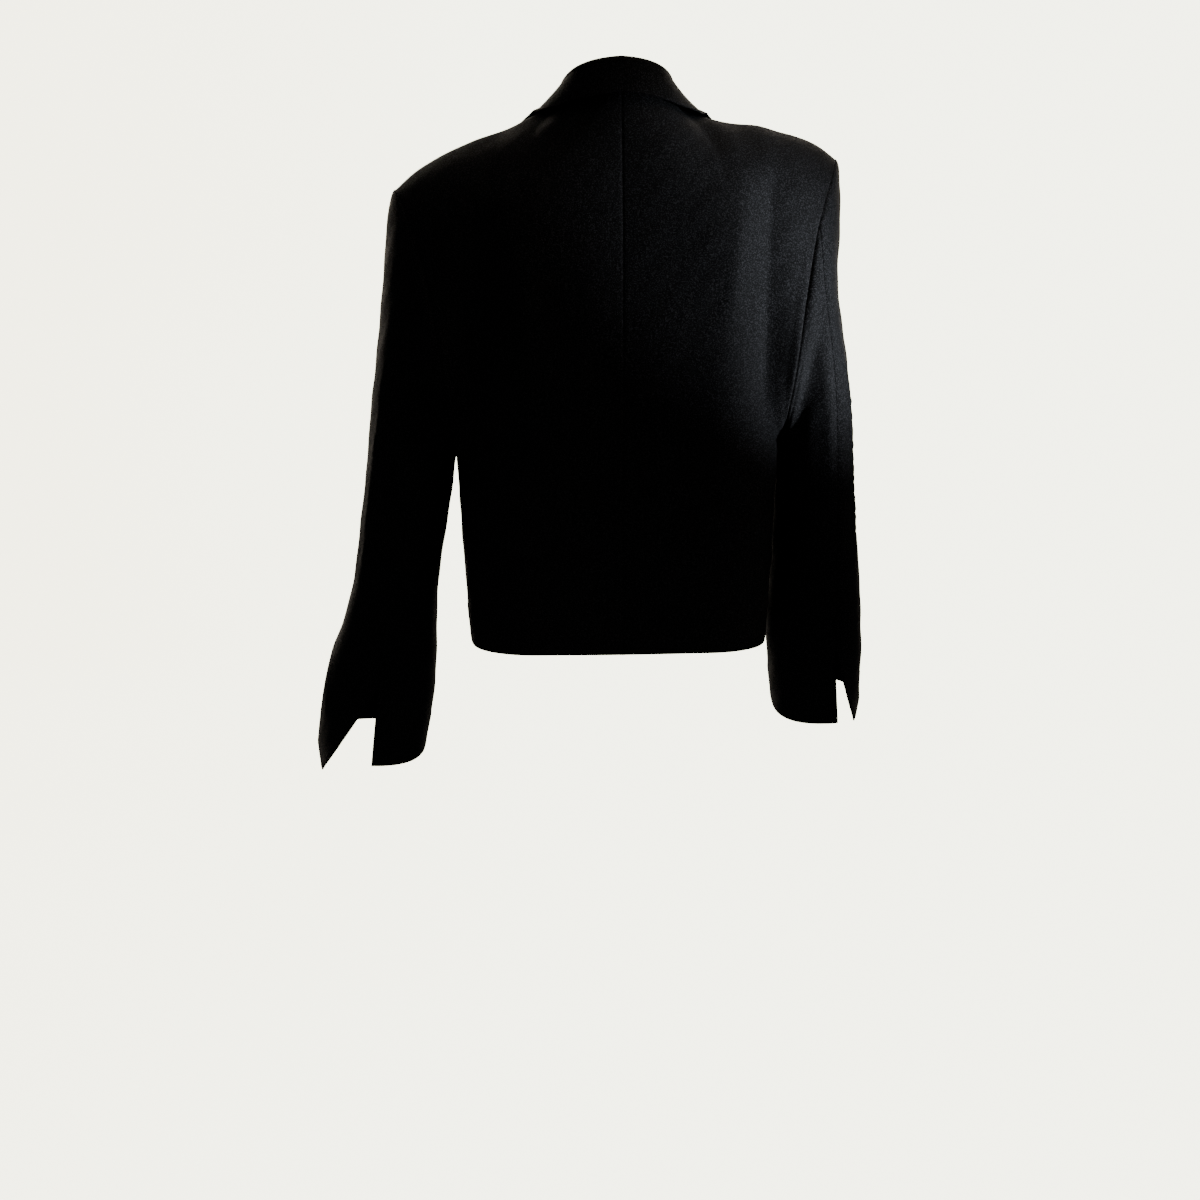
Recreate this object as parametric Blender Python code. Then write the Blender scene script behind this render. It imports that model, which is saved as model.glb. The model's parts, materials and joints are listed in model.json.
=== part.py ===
"""A black tailored jacket as it is worn: padded shoulders, notched lapels, two-piece vented sleeves.

Every piece is a cloth wall lofted through named sections. The wearer's left is +X, the front
faces -Y and +Z is up. The origin is in the middle of the neck opening, level with the neck seam
at the middle of the back, and the jacket hangs from the wearer's shoulders.
"""

import math
from collections import namedtuple

import bmesh
import bpy
import numpy as np
from mathutils import Vector
from mathutils.bvhtree import BVHTree

# Driving sizes in metres

CLOTH = 0.002               # wall of the cloth
SEAM_GAP = 0.0003           # between two pieces that are sewn together
SEAM_DRAW = 0.00006         # a sewn edge is drawn in by this too, for seams that lie in a bend
BACK_LENGTH = 0.572         # neck seam to hem at the middle of the back
SHOULDER_DROP = 0.0155      # each shoulder lies this much off level, the left one low
STAND_HEIGHT = 0.0245       # collar stand at the middle of the back
LEAF_DEPTH = 0.0265         # collar leaf at the middle of the back
LAPEL_WIDTH = 0.086         # lapel from its roll line to its point
VENT_START = 0.81           # share of the sleeve's run where the vent opens
VENT_POWER = 1.1            # how late the vent's outer flap swings out
BUTTON_RADIUS = 0.0125
BUTTON_THICKNESS = 0.004
BUTTON_SPACING = 0.095

# Grid of each panel: runs across, runs up
RUNS_UP = 24
ARMPIT_ROW = 9              # the row of the grid where the armhole starts
HOLE_RUNS = RUNS_UP - ARMPIT_ROW
BACK_RUNS = 16
FRONT_RUNS = 15
SLEEVE_RUNS = 24
LAPEL_RUNS = (9, 14)
LAPEL_TURN_RUNS = 4         # of the lapel's runs across, those round its fold
COLLAR_STAND_RUNS = 2
COLLAR_FOLD_RUNS = 3
COLLAR_LEAF_RUNS = 3
NECK_RUNS_BACK = 6          # of the back's runs across, those along the neckline
NECK_RUNS_FRONT = 5

# Climb runs from 0 at the hem to 1 at the shoulder seam; the armhole starts at this climb
ARMPIT_CLIMB = ARMPIT_ROW / RUNS_UP

Hole = namedtuple("Hole", "name x y z")
ARMHOLE = (
    Hole("armpit", 0.168, 0.000, -0.368),
    Hole("back low", 0.171, 0.038, -0.350),
    Hole("back notch", 0.178, 0.062, -0.300),
    Hole("back middle", 0.188, 0.071, -0.228),
    Hole("back high", 0.202, 0.063, -0.154),
    Hole("back crown", 0.219, 0.036, -0.105),
    Hole("shoulder tip", 0.2285, -0.004, -0.0865),
    Hole("front crown", 0.220, -0.036, -0.108),
    Hole("front high", 0.202, -0.056, -0.154),
    Hole("front middle", 0.187, -0.066, -0.228),
    Hole("front notch", 0.177, -0.060, -0.300),
    Hole("front low", 0.171, -0.036, -0.350),
)

# One side of the jacket: its sign in X, how far the arm is swung out, the turn of the forearm,
# how far the upper sleeve is pressed in, its elbow lies towards the body and its cuff bells out,
# how much shorter the sleeve hangs, how far the vent's flap swings out, how much narrower the
# collar lies on the shoulder, and whether this front wraps over the other
Side = namedtuple(
    "Side", "name sign swing twist press near bell short flare_x flare_y flare_z tuck wrap"
)
SIDES = (
    Side("left", 1, 0.0145, -5.0, 0.002, 0.000, 0.011, 0.000, 0.053, 0.020, 0.005, 0.010, False),
    Side("right", -1, -0.0145, 5.0, 0.010, 0.010, -0.009, 0.008, 0.0175, 0.008, 0.006, 0.001, True),
)
TUCK_ALONG = 0.66           # where along the half collar it lies narrower, and how far that reaches
TUCK_REACH = 0.13
PRESS_HEIGHT = -0.215       # where the upper sleeve is pressed in most

# The side seam, from the hem to the armpit
Seam = namedtuple("Seam", "name climb x y z")
SIDE_SEAM = (
    Seam("hem", 0.00, 0.156, 0.000, -0.5700),
    Seam("waist", 0.20, 0.163, 0.000, -0.4650),
    Seam("armpit", ARMPIT_CLIMB, 0.168, 0.000, -0.3680),
)

# Rows of a panel from its middle edge to its side: where the middle lies, how square the
# corner is, how far round the row turns, and how far it swells between its ends
Row = namedtuple("Row", "name climb mid_x mid_y mid_z square turn swell")
BACK_ROWS = (
    Row("hem", 0.00, 0.0, 0.108, -BACK_LENGTH, 4.6, 90, 0.0),
    Row("waist", 0.22, 0.0, 0.101, -0.445, 4.6, 90, 0.0),
    Row("armpit", ARMPIT_CLIMB, 0.0, 0.101, -0.352, 4.4, 88, 0.0),
    Row("blade", 0.58, 0.0, 0.103, -0.240, 3.8, 68, 0.002),
    Row("yoke", 0.78, 0.0, 0.096, -0.125, 3.0, 62, 0.006),
    Row("crest", 0.90, 0.0, 0.085, -0.055, 2.6, 64, 0.008),
    Row("neck", 1.00, 0.0, 0.073, 0.000, 2.4, 68, 0.006),
)
FRONT_ROWS = (
    Row("hem", 0.00, -0.020, -0.118, -0.5760, 3.2, 90, 0.0),
    Row("waist", 0.22, -0.020, -0.114, -0.4500, 3.0, 90, 0.0),
    Row("break", 0.41, -0.020, -0.122, -0.3380, 2.8, 82, 0.004),
    Row("bust", 0.58, 0.000, -0.119, -0.2480, 2.8, 66, 0.008),
    Row("chest", 0.78, 0.024, -0.096, -0.1420, 2.6, 62, 0.012),
    Row("collar bone", 0.90, 0.039, -0.071, -0.0820, 2.4, 64, 0.010),
    Row("gorge", 1.00, 0.052, -0.048, -0.0400, 2.2, 68, 0.006),
)
NECK_POINT = (0.060, 0.000, -0.0175)
Shoulder = namedtuple("Shoulder", "name x y z")
SHOULDER_SEAM = (
    Shoulder("neck point", 0.060, 0.000, -0.0175),
    Shoulder("collar edge", 0.082, 0.000, -0.0250),
    Shoulder("hollow", 0.110, 0.000, -0.0385),
    Shoulder("pad", 0.150, -0.001, -0.0480),
    Shoulder("pad middle", 0.186, -0.002, -0.0595),
    Shoulder("pad edge", 0.212, -0.003, -0.0730),
    Shoulder("shoulder tip", 0.2285, -0.004, -0.0865),
)
OVER_START = 0.76           # climb above which a panel bends over towards the shoulder seam
OVER_POWER = 2.6            # how late it bends
FRONT_LAP = 0.0032          # how far the left front lies behind the right one
LAPEL_LAP = 0.0042          # and how much more where its lapel lies between them
LAP_START = 0.024           # where the left front starts to come level again, and where it is
LAP_END = 0.080

# Soft drape folds of the back: where each stands across the row at its top and its foot
Fold = namedtuple("Fold", "name sign x_top x_foot climb_top climb_foot height width")
BACK_FOLDS = (
    Fold("right blade", -1, 0.148, 0.148, 0.93, 0.00, 0.0060, 0.014),
    Fold("right inner", -1, 0.127, 0.105, 0.92, 0.55, 0.0025, 0.012),
    Fold("left blade", 1, 0.146, 0.140, 0.90, 0.00, 0.0045, 0.015),
    Fold("left inner", 1, 0.112, 0.100, 0.86, 0.50, 0.0020, 0.014),
)

# Rings of the sleeve below its head: the middle, half the width and half the depth
Ring = namedtuple("Ring", "name run x y z half_width half_depth rise")
SLEEVE_RINGS = (
    Ring("bicep", 0.42, 0.2160, 0.000, -0.3950, 0.0425, 0.070, 0.000),
    Ring("elbow", 0.60, 0.2260, -0.003, -0.4900, 0.0420, 0.062, 0.003),
    Ring("forearm", 0.82, 0.2343, -0.018, -0.6000, 0.0543, 0.055, 0.009),
    Ring("cuff", 1.00, 0.2440, -0.035, -0.6840, 0.0540, 0.050, 0.014),
)
SLEEVE_SQUARE = 2.6
HEAD_REACH = 0.034          # how far the sleeve head stands out of the armhole
HEAD_PUFF = 0.013           # and how far it rises over the seam
HEAD_CROWD = 1.35           # the head's rings crowd towards the seam
HOLE_CENTRE = np.array([0.0, 0.003, -0.225])
SWING_TOP = -0.10           # the arm swings from this height, fully at this length below it
SWING_LENGTH = 0.54
# The sleeve's seams, as places round the armhole: 0 armpit, 1 shoulder tip, 2 armpit again
FOREARM_SEAM = -4 / HOLE_RUNS
HINDARM_AT_HEAD = 10 / HOLE_RUNS
HINDARM_AT_CUFF = 0.539
UNDER_SLEEVE_RUNS = 14
TOP_SLEEVE_RUNS = 2 * HOLE_RUNS - UNDER_SLEEVE_RUNS

# The collar along half the neckline: 0 at the middle of the back, 1 at the gorge
Collar = namedtuple("Collar", "name along stand lean leaf slope")
COLLAR_SECTIONS = (
    Collar("middle back", 0.00, STAND_HEIGHT, -0.006, LEAF_DEPTH, 82),
    Collar("side back", 0.35, 0.022, -0.007, 0.031, 66),
    Collar("neck point", 0.66, 0.014, -0.008, 0.037, 30),
    Collar("corner", 0.88, 0.009, -0.006, 0.066, 40),
    Collar("gorge", 1.00, 0.005, -0.004, 0.052, 46),
)
FOLD_RADIUS = 0.0045        # outer radius where the collar and the lapels turn over
LEAF_CLEARANCE = 0.0034     # under the leaf's wall
LAPEL_CLEARANCE = 0.0016    # under the lapel's wall
NOTCH_CLIMB = 0.815         # climb of the lapel's point
BREAK_CLIMB = 10 / RUNS_UP  # climb where the lapel starts to turn
GORGE_GAP = 0.0006          # between the lapel's top edge and the collar's end
GORGE_SHARE = 0.6           # of the lapel's top edge, the part sewn to the collar
GORGE_EASE = 0.0018         # how much further the roll stands off the front's edge at its top
LAPEL_CURVE = 0.8           # how the lapel widens up its roll line
ROW_LENGTH_BREAK = 0.300    # length of the front's rows at the break and at the notch
ROW_LENGTH_NOTCH = 0.200

# Rough outward directions of the front and of the back
AHEAD = np.array([0, -1, 0.2])
BEHIND = np.array([0, 1, 0.2])
WELD = 0.00002              # points of two grids closer than this are one seam point


def through(knots, values, at):
    """Smooth curve through a table's values, read at one place or at many."""
    knots = np.asarray(knots, float)
    values = np.asarray(values, float)
    slopes = np.gradient(values, knots, axis=0)
    at = np.atleast_1d(at).astype(float)
    left = np.clip(np.searchsorted(knots, at, side="right") - 1, 0, len(knots) - 2)
    step = knots[left + 1] - knots[left]
    t = (at - knots[left]) / step
    if values.ndim > 1:
        t = t[:, None]
        step = step[:, None]
    start = (2 * t**3 - 3 * t**2 + 1) * values[left] + (t**3 - 2 * t**2 + t) * step * slopes[left]
    end = (3 * t**2 - 2 * t**3) * values[left + 1] + (t**3 - t**2) * step * slopes[left + 1]
    return start + end


def ease(value, low, high):
    """0 below low, 1 above high, and smooth between."""
    t = np.clip((np.asarray(value, float) - low) / (high - low), 0, 1)
    return t * t * (3 - 2 * t)


def unit(vectors):
    """The same directions at length 1."""
    length = np.linalg.norm(vectors, axis=-1, keepdims=True)
    return vectors / np.maximum(length, 1e-12)


def spread(points, shares):
    """Points at the given shares of a dense line's length."""
    steps = np.linalg.norm(np.diff(points, axis=0), axis=1)
    length = np.concatenate([[0], np.cumsum(steps)])
    length /= length[-1]
    return np.stack([np.interp(shares, length, points[:, k]) for k in range(3)], axis=-1)


def pose(points, side, arm=0.0):
    """The wearer's stance, with one shoulder low, and then the side's sign."""
    out = np.array(points, float)
    outward = ease(out[..., 0], 0.07, 0.23)
    raised = ease(out[..., 2], -0.56, -0.37)
    held = arm + (1 - arm) * outward * raised
    out[..., 2] -= side.sign * SHOULDER_DROP * held
    out[..., 0] *= side.sign
    return out


def armhole(places):
    """Points of the armhole at places from 0, armpit, over 1, shoulder tip, to 2, armpit."""
    count = len(ARMHOLE)
    reach = 3
    rows = [ARMHOLE[k % count] for k in range(-reach, count + reach + 1)]
    knots = [2 * k / count for k in range(-reach, count + reach + 1)]
    return through(knots, [(r.x, r.y, r.z) for r in rows], np.mod(places, 2))


def side_edge(climb, hole_sign):
    """The outer edge of a panel: the side seam, then its half of the armhole."""
    if climb <= ARMPIT_CLIMB:
        seam = through([s.climb for s in SIDE_SEAM], [(s.x, s.y, s.z) for s in SIDE_SEAM], climb)
        return seam[0]
    place = (climb - ARMPIT_CLIMB) / (1 - ARMPIT_CLIMB)
    return armhole(np.array([hole_sign * place]))[0]


def plain_row(rows, climb, hole_sign):
    """A dense row of a panel from its middle edge to its outer edge, without the shoulder."""
    table = [(r.mid_x, r.mid_y, r.mid_z, r.square, r.turn, r.swell) for r in rows]
    mid_x, mid_y, mid_z, square, turn, swell = through([r.climb for r in rows], table, climb)[0]
    edge = side_edge(climb, hole_sign)
    t = np.linspace(0, math.radians(min(turn, 90)), 140)
    across = np.sin(t) ** (2 / square)
    deep = 1 - np.maximum(np.cos(t), 0) ** (2 / square)
    across /= across[-1]
    deep /= deep[-1]
    x = mid_x + (edge[0] - mid_x) * across
    y = mid_y + (edge[1] - mid_y) * deep + hole_sign * swell * np.sin(math.pi * across)
    z = mid_z + (edge[2] - mid_z) * across**2
    return np.stack([x, y, z], axis=-1)


def shoulder_row(rows, neck_share):
    """The dense top row: along the neckline to the neck point, then along the shoulder seam."""
    start = np.array([rows[-1].mid_x, rows[-1].mid_y, rows[-1].mid_z])
    point = np.array(NECK_POINT)
    turn = np.linspace(0, math.pi / 2, 60)
    neck = np.stack(
        [
            start[0] + (point[0] - start[0]) * np.sin(turn),
            point[1] + (start[1] - point[1]) * np.cos(turn),
            start[2] + (point[2] - start[2]) * (1 - np.cos(turn)),
        ],
        axis=-1,
    )
    across = np.linspace(NECK_POINT[0], SHOULDER_SEAM[-1].x, 60)
    table = [(s.x, s.y, s.z) for s in SHOULDER_SEAM]
    seam = through([s.x for s in SHOULDER_SEAM], table, across)
    on_neck = spread(neck, np.linspace(0, 1, 41))
    on_seam = spread(seam, np.linspace(0, 1, 81))
    places = np.concatenate([np.linspace(0, neck_share, 41), np.linspace(neck_share, 1, 81)[1:]])
    return places, np.concatenate([on_neck, on_seam[1:]])


def crowded(line, folds_at):
    """Shares along a line, with points crowded at its fold."""
    middle = (line[1:] + line[:-1]) / 2
    steps = np.linalg.norm(np.diff(line, axis=0), axis=1)
    steps = steps * (1 + 1.3 * np.exp(-(((middle[:, 0] - folds_at) / 0.030) ** 2)))
    total = np.concatenate([[0], np.cumsum(steps)])
    return total / total[-1]


def panel_row(rows, climb, hole_sign, neck_share, shares):
    """One row of a panel at the given shares from its middle edge to its outer edge."""
    def read(line, at):
        total = crowded(line, 0.145)
        return np.stack([np.interp(at, total, line[:, k]) for k in range(3)], axis=-1)

    shares = np.atleast_1d(shares)
    out = read(plain_row(rows, climb, hole_sign), shares)
    if climb > OVER_START:
        weight = ((climb - OVER_START) / (1 - OVER_START)) ** OVER_POWER
        places, top = shoulder_row(rows, neck_share)
        seam = np.stack([np.interp(shares, places, top[:, k]) for k in range(3)], axis=-1)
        out = out + weight * (seam - read(plain_row(rows, 1.0, hole_sign), shares))
    return out


def outward_of(grid, away):
    """Unit normals of a grid of points, turned to the side that away points to."""
    across = np.gradient(grid, axis=1)
    up = np.gradient(grid, axis=0)
    normal = unit(np.cross(across, up))
    if (normal * away).sum() < 0:
        normal = -normal
    return normal


def back_grid(side, runs, climbs):
    """The back half panel's outer points, with its drape folds."""
    shares = np.linspace(0, 1, runs + 1)
    neck_share = NECK_RUNS_BACK / BACK_RUNS
    grid = np.array([panel_row(BACK_ROWS, c, 1, neck_share, shares) for c in climbs])
    normal = outward_of(grid, BEHIND)
    for fold in BACK_FOLDS:
        if fold.sign != side.sign:
            continue
        reach = np.clip((fold.climb_top - climbs) / (fold.climb_top - fold.climb_foot), 0, 1)
        centre = fold.x_top + (fold.x_foot - fold.x_top) * reach
        fade = ease(climbs, fold.climb_top, fold.climb_top - 0.22)
        if fold.climb_foot > 0:
            fade = fade * ease(climbs, fold.climb_foot, fold.climb_foot + 0.18)
        near = np.exp(-(((grid[..., 0] - centre[:, None]) / fold.width) ** 2))
        behind = ease(grid[..., 1], 0.02, 0.07)
        at_edges = np.minimum(1, 4 * np.minimum(shares, 1 - shares))
        grid = grid + (fold.height * fade[:, None] * near * behind * at_edges)[..., None] * normal
    return grid


def front_grid(side, runs, climbs):
    """The front half panel's outer points; the left one passes behind the right one."""
    shares = np.linspace(0, 1, runs + 1)
    neck_share = NECK_RUNS_FRONT / FRONT_RUNS
    grid = np.array([panel_row(FRONT_ROWS, c, -1, neck_share, shares) for c in climbs])
    behind = (1 - ease(grid[..., 0], LAP_START, LAP_END)) * (1 - side.wrap)
    between = ease(climbs, BREAK_CLIMB - 0.10, BREAK_CLIMB - 0.01)
    lapped = (FRONT_LAP + LAPEL_LAP * between) * (1 - ease(climbs, 0.64, 0.82))
    grid[..., 1] += lapped[:, None] * behind
    return grid


def front_points(side, climbs, shares):
    """Points of the front panel anywhere, for what lies on it, with their outward normals."""
    dense_climbs = np.linspace(0, 1, 121)
    dense = front_grid(side, 96, dense_climbs)
    normal = outward_of(dense, AHEAD)
    row = np.clip(climbs, 0, 1) * 120
    column = np.clip(shares, 0, 1) * 96
    i = np.clip(np.floor(row).astype(int), 0, 119)
    j = np.clip(np.floor(column).astype(int), 0, 95)
    a = (row - i)[..., None]
    b = (column - j)[..., None]

    def mix(field):
        low = field[i, j] * (1 - b) + field[i, j + 1] * b
        high = field[i + 1, j] * (1 - b) + field[i + 1, j + 1] * b
        return low * (1 - a) + high * a

    return mix(dense), unit(mix(normal))


def sleeve_ring(run, places, side):
    """Points round the sleeve below its head, at a run from 0, armhole, to 1, cuff."""
    table = [(r.x, r.y, r.z, r.half_width, r.half_depth, r.rise) for r in SLEEVE_RINGS]
    x, y, z, half_width, half_depth, rise = through([r.run for r in SLEEVE_RINGS], table, run)[0]
    angle = math.pi * places + math.radians(side.twist) * run**2
    cosine = np.sign(np.cos(angle)) * np.abs(np.cos(angle)) ** (2 / SLEEVE_SQUARE)
    sine = np.sign(np.sin(angle)) * np.abs(np.sin(angle)) ** (2 / SLEEVE_SQUARE)
    swing = side.swing * (SWING_TOP - z) / SWING_LENGTH
    inner_share = ease(-z, 0.40, 0.60)
    swing = swing * (inner_share + (1 - inner_share) * (1 - cosine) / 2)
    swing = swing + side.bell * ease(run, 0.60, 0.92) * np.maximum(0, -cosine)
    swing = swing - side.near * math.exp(-(((run - 0.58) / 0.16) ** 2)) * np.maximum(0, cosine)
    z = z + side.short * run**2
    return np.stack(
        [x - half_width * cosine + swing, y + half_depth * sine, z - rise * sine],
        axis=-1,
    )


def sleeve_row(run, places, side):
    """Points round the whole sleeve at a run from 0, armhole, to 1, cuff."""
    bicep = SLEEVE_RINGS[0]
    if run >= bicep.run:
        return sleeve_ring(run, places, side)
    t = run / bicep.run
    start = armhole(places)
    end = sleeve_ring(bicep.run, places, side)
    down = sleeve_ring(bicep.run + 0.01, places, side) - end
    reach = np.linalg.norm(end - start, axis=1, keepdims=True)
    share = np.minimum(1, reach / 0.16)
    radial = unit((start - HOLE_CENTRE) * np.array([0, 1, 1]))
    leave = share * (HEAD_REACH * np.array([1.0, 0, 0]) + HEAD_PUFF * radial)
    arrive = unit(down) * reach
    row = (
        (2 * t**3 - 3 * t**2 + 1) * start
        + (t**3 - 2 * t**2 + t) * leave
        + (3 * t**2 - 2 * t**3) * end
        + (t**3 - t**2) * arrive
    )
    outer = np.maximum(0, -np.cos(math.pi * places)) * ease(t, 0.0, 0.25)
    row[:, 0] -= side.press * outer * np.exp(-(((row[:, 2] - PRESS_HEIGHT) / 0.07) ** 2))
    return row


def sleeve_runs(count):
    """Runs from the armhole to the cuff, crowded where the head turns over."""
    return np.linspace(0, 1, count + 1) ** HEAD_CROWD


def hindarm(run):
    """Where the hindarm seam lies round the sleeve at a run."""
    return HINDARM_AT_HEAD + (HINDARM_AT_CUFF - HINDARM_AT_HEAD) * ease(run, 0.0, 0.7)


def opened_vent(row, shares, run, side, low, high):
    """A row of the top sleeve by the vent, whose flap swings out and straightens."""
    opened = ((run - VENT_START) / (1 - VENT_START)) ** VENT_POWER
    outermost = (1 - side.twist / 180 * run**2 - low) / (high - low)
    tip = row[0] + np.array([side.flare_x, side.flare_y, side.flare_z])
    far = np.array([np.interp(outermost, shares, row[:, k]) for k in range(3)])
    along = np.clip(shares / outermost, 0, 1)[:, None]
    straight = tip + (far - tip) * along
    near = (shares <= outermost)[:, None]
    return row + opened * near * (straight - row)


def sleeve_grid(side, upper):
    """Outer points of the top sleeve or the under sleeve, from the cuff up to the armhole."""
    rows = []
    for run in sleeve_runs(SLEEVE_RUNS)[::-1]:
        low = FOREARM_SEAM
        high = hindarm(run)
        runs = UNDER_SLEEVE_RUNS
        if upper:
            low = high
            high = 2 + FOREARM_SEAM
            runs = TOP_SLEEVE_RUNS
        shares = np.linspace(0, 1, runs + 1)
        row = sleeve_row(run, low + (high - low) * shares, side)
        if upper and run > VENT_START:
            row = opened_vent(row, shares, run, side, low, high)
        rows.append(pose(row, side, arm=ease(run, 0.0, SLEEVE_RINGS[0].run)))
    return np.array(rows)


def shared_normals(pieces):
    """Normals of several grids; where two share a point, as at a seam, they share the normal."""
    normals = [outward_of(grid, away) for grid, away in pieces]
    meeting = {}
    for index, (grid, _) in enumerate(pieces):
        for i, j in rim_of(*grid.shape[:2]):
            key = tuple(np.round(grid[i, j] / WELD).astype(int))
            meeting.setdefault(key, []).append((index, i, j))
    for places in meeting.values():
        mean = unit(sum(normals[index][i, j] for index, i, j in places))
        for index, i, j in places:
            normals[index][i, j] = mean
    return normals


def rim_of(rows, columns):
    """The grid places round the edge of a grid, in order."""
    rim = [(0, j) for j in range(columns)]
    rim += [(i, columns - 1) for i in range(1, rows)]
    rim += [(rows - 1, j) for j in range(columns - 2, -1, -1)]
    rim += [(i, 0) for i in range(rows - 2, 0, -1)]
    return rim


def walled(name, outer, normal, material, trims=(0, 0, 0, 0)):
    """A closed cloth wall under a grid of outer points; trims draw its four edges in."""
    grid = np.array(outer, float)
    draw = SEAM_GAP / 2 + SEAM_DRAW
    first, last, bottom, top = trims
    grid[:, 0] += first * draw * unit(grid[:, 1] - grid[:, 0])
    grid[:, -1] += last * draw * unit(grid[:, -2] - grid[:, -1])
    grid[0] += bottom * draw * unit(grid[1] - grid[0])
    grid[-1] += top * draw * unit(grid[-2] - grid[-1])
    inner = grid - CLOTH * normal
    rows, columns = grid.shape[:2]
    count = rows * columns
    points = np.concatenate([grid.reshape(-1, 3), inner.reshape(-1, 3)])
    faces = []
    for i in range(rows - 1):
        for j in range(columns - 1):
            a = i * columns + j
            faces.append((a, a + 1, a + columns + 1, a + columns))
            faces.append((a + count + columns, a + count + columns + 1, a + count + 1, a + count))
    rim = [i * columns + j for i, j in rim_of(rows, columns)]
    for k, a in enumerate(rim):
        b = rim[(k + 1) % len(rim)]
        faces.append((b, a, a + count, b + count))
    return solid(name, points, faces, material)


def solid(name, points, faces, material):
    """A mesh object from points and faces, its faces pointing out."""
    mesh = bpy.data.meshes.new(name)
    mesh.from_pydata([tuple(p) for p in points], [], faces)
    form = bmesh.new()
    form.from_mesh(mesh)
    bmesh.ops.recalc_face_normals(form, faces=form.faces)
    if form.calc_volume(signed=True) < 0:
        bmesh.ops.reverse_faces(form, faces=form.faces)
    form.to_mesh(mesh)
    form.free()
    mesh.shade_smooth()
    mesh.set_sharp_from_angle(angle=math.radians(50))
    mesh.materials.append(material)
    piece = bpy.data.objects.new(name, mesh)
    bpy.context.scene.collection.objects.link(piece)
    return piece


def cloth_material(name, colour, roughness):
    """A plain dark cloth or horn finish."""
    material = bpy.data.materials.new(name)
    material.use_nodes = True
    shader = material.node_tree.nodes["Principled BSDF"]
    shader.inputs["Base Color"].default_value = (*colour, 1)
    shader.inputs["Roughness"].default_value = roughness
    shader.inputs["Metallic"].default_value = 0.0
    return material


def make_body(material):
    """The back and front halves; their grids are returned for what lies on them."""
    climbs = np.linspace(0, 1, RUNS_UP + 1)
    names = []
    pieces = []
    for side in SIDES:
        names += [f"back_{side.name}", f"front_{side.name}"]
        pieces.append((pose(back_grid(side, BACK_RUNS, climbs), side), BEHIND))
        pieces.append((pose(front_grid(side, FRONT_RUNS, climbs), side), AHEAD))
    normals = shared_normals(pieces)
    for name, (grid, _), normal in zip(names, pieces, normals):
        sewn_middle = 1 if name.startswith("back") else 0
        walled(name, grid, normal, material, trims=(sewn_middle, 1, 0, 1))
    return [grid for grid, _ in pieces]


def make_sleeves(material):
    """The top sleeve and the under sleeve of each side."""
    for side in SIDES:
        out = np.array([side.sign, 0, 0])
        pieces = [(sleeve_grid(side, True), out), (sleeve_grid(side, False), -out)]
        top_normal, under_normal = shared_normals(pieces)
        trims = (1, 1, 0, 1)
        walled(f"sleeve_top_{side.name}", pieces[0][0], top_normal, material, trims)
        walled(f"sleeve_under_{side.name}", pieces[1][0], under_normal, material, trims)


def lapel_rows(side, shares_across, shares_up):
    """Points of the lapel on the front panel, with the panel's normals."""
    across, up = np.meshgrid(shares_across, shares_up)
    inner = BREAK_CLIMB + up * (1 - BREAK_CLIMB)
    outer = BREAK_CLIMB + up * (NOTCH_CLIMB - BREAK_CLIMB)
    climbs = inner + (outer - inner) * across
    width = LAPEL_WIDTH * up**LAPEL_CURVE
    row_length = ROW_LENGTH_BREAK + (ROW_LENGTH_NOTCH - ROW_LENGTH_BREAK) * up
    return front_points(side, climbs, width * across / row_length)


def lapel_heights(side, across, up):
    """How far the lapel's face stands over the front panel: most by the roll line."""
    lift = CLOTH + LAPEL_CLEARANCE
    roll = (2 * FOLD_RADIUS - CLOTH - lift) * np.exp(-3.5 * across)
    free = ease(up, 0.30, 0.62)[:, None]
    if side.wrap:
        free = ease(up, -0.15, 0.35)[:, None]
    pressed = CLOTH + 2 * SEAM_GAP
    return pressed + free * (lift - pressed + roll[None, :])


def rolled(side, shares, lifts, turn_runs):
    """Rows that roll round the front's edge and then lie on the front panel, and their normals."""
    flat, normal = lapel_rows(side, shares, lifts)
    height = lapel_heights(side, shares, lifts)
    face = flat + height[..., None] * normal
    edge_dir = unit(flat[:, 0] - flat[:, 1])
    radius = (height[:, 0] + CLOTH)[:, None] / 2
    beside = SEAM_GAP + GORGE_EASE * ease(lifts, 0.6, 0.95)[:, None]
    centre = face[:, 0] - radius * normal[:, 0] + beside * edge_dir
    turns = []
    outward = []
    for k in range(turn_runs):
        angle = math.pi * k / turn_runs
        away = unit(math.sin(angle) * edge_dir - math.cos(angle) * normal[:, 0])
        turns.append(centre + radius * away)
        outward.append(away)
    grid = np.concatenate([np.stack(turns, axis=1), face], axis=1)
    return grid, np.concatenate([np.stack(outward, axis=1), normal], axis=1)


def make_lapel(side, material):
    """A lapel: it rolls round the front's edge and lies on the front panel."""
    across, up = LAPEL_RUNS
    shares = np.linspace(0, 1, across - LAPEL_TURN_RUNS + 1)
    lifts = np.maximum(np.linspace(0, 1, up + 1), 0.04)
    grid, normal = rolled(side, shares, lifts, LAPEL_TURN_RUNS)
    normal = normal * np.array([side.sign, 1, 1])
    return walled(f"lapel_{side.name}", pose(grid, side), normal, material)


def gorge_section(side, turn_runs, leaf_runs):
    """The collar's end, which goes on from the top edge of the lapel."""
    shares = np.linspace(0, GORGE_SHARE, leaf_runs + 1)
    grid, normal = rolled(side, shares, np.array([0.98, 1.0]), turn_runs)
    return grid[1] + GORGE_GAP * unit(grid[1] - grid[0]), normal[1] * np.array([side.sign, 1, 1])


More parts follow.
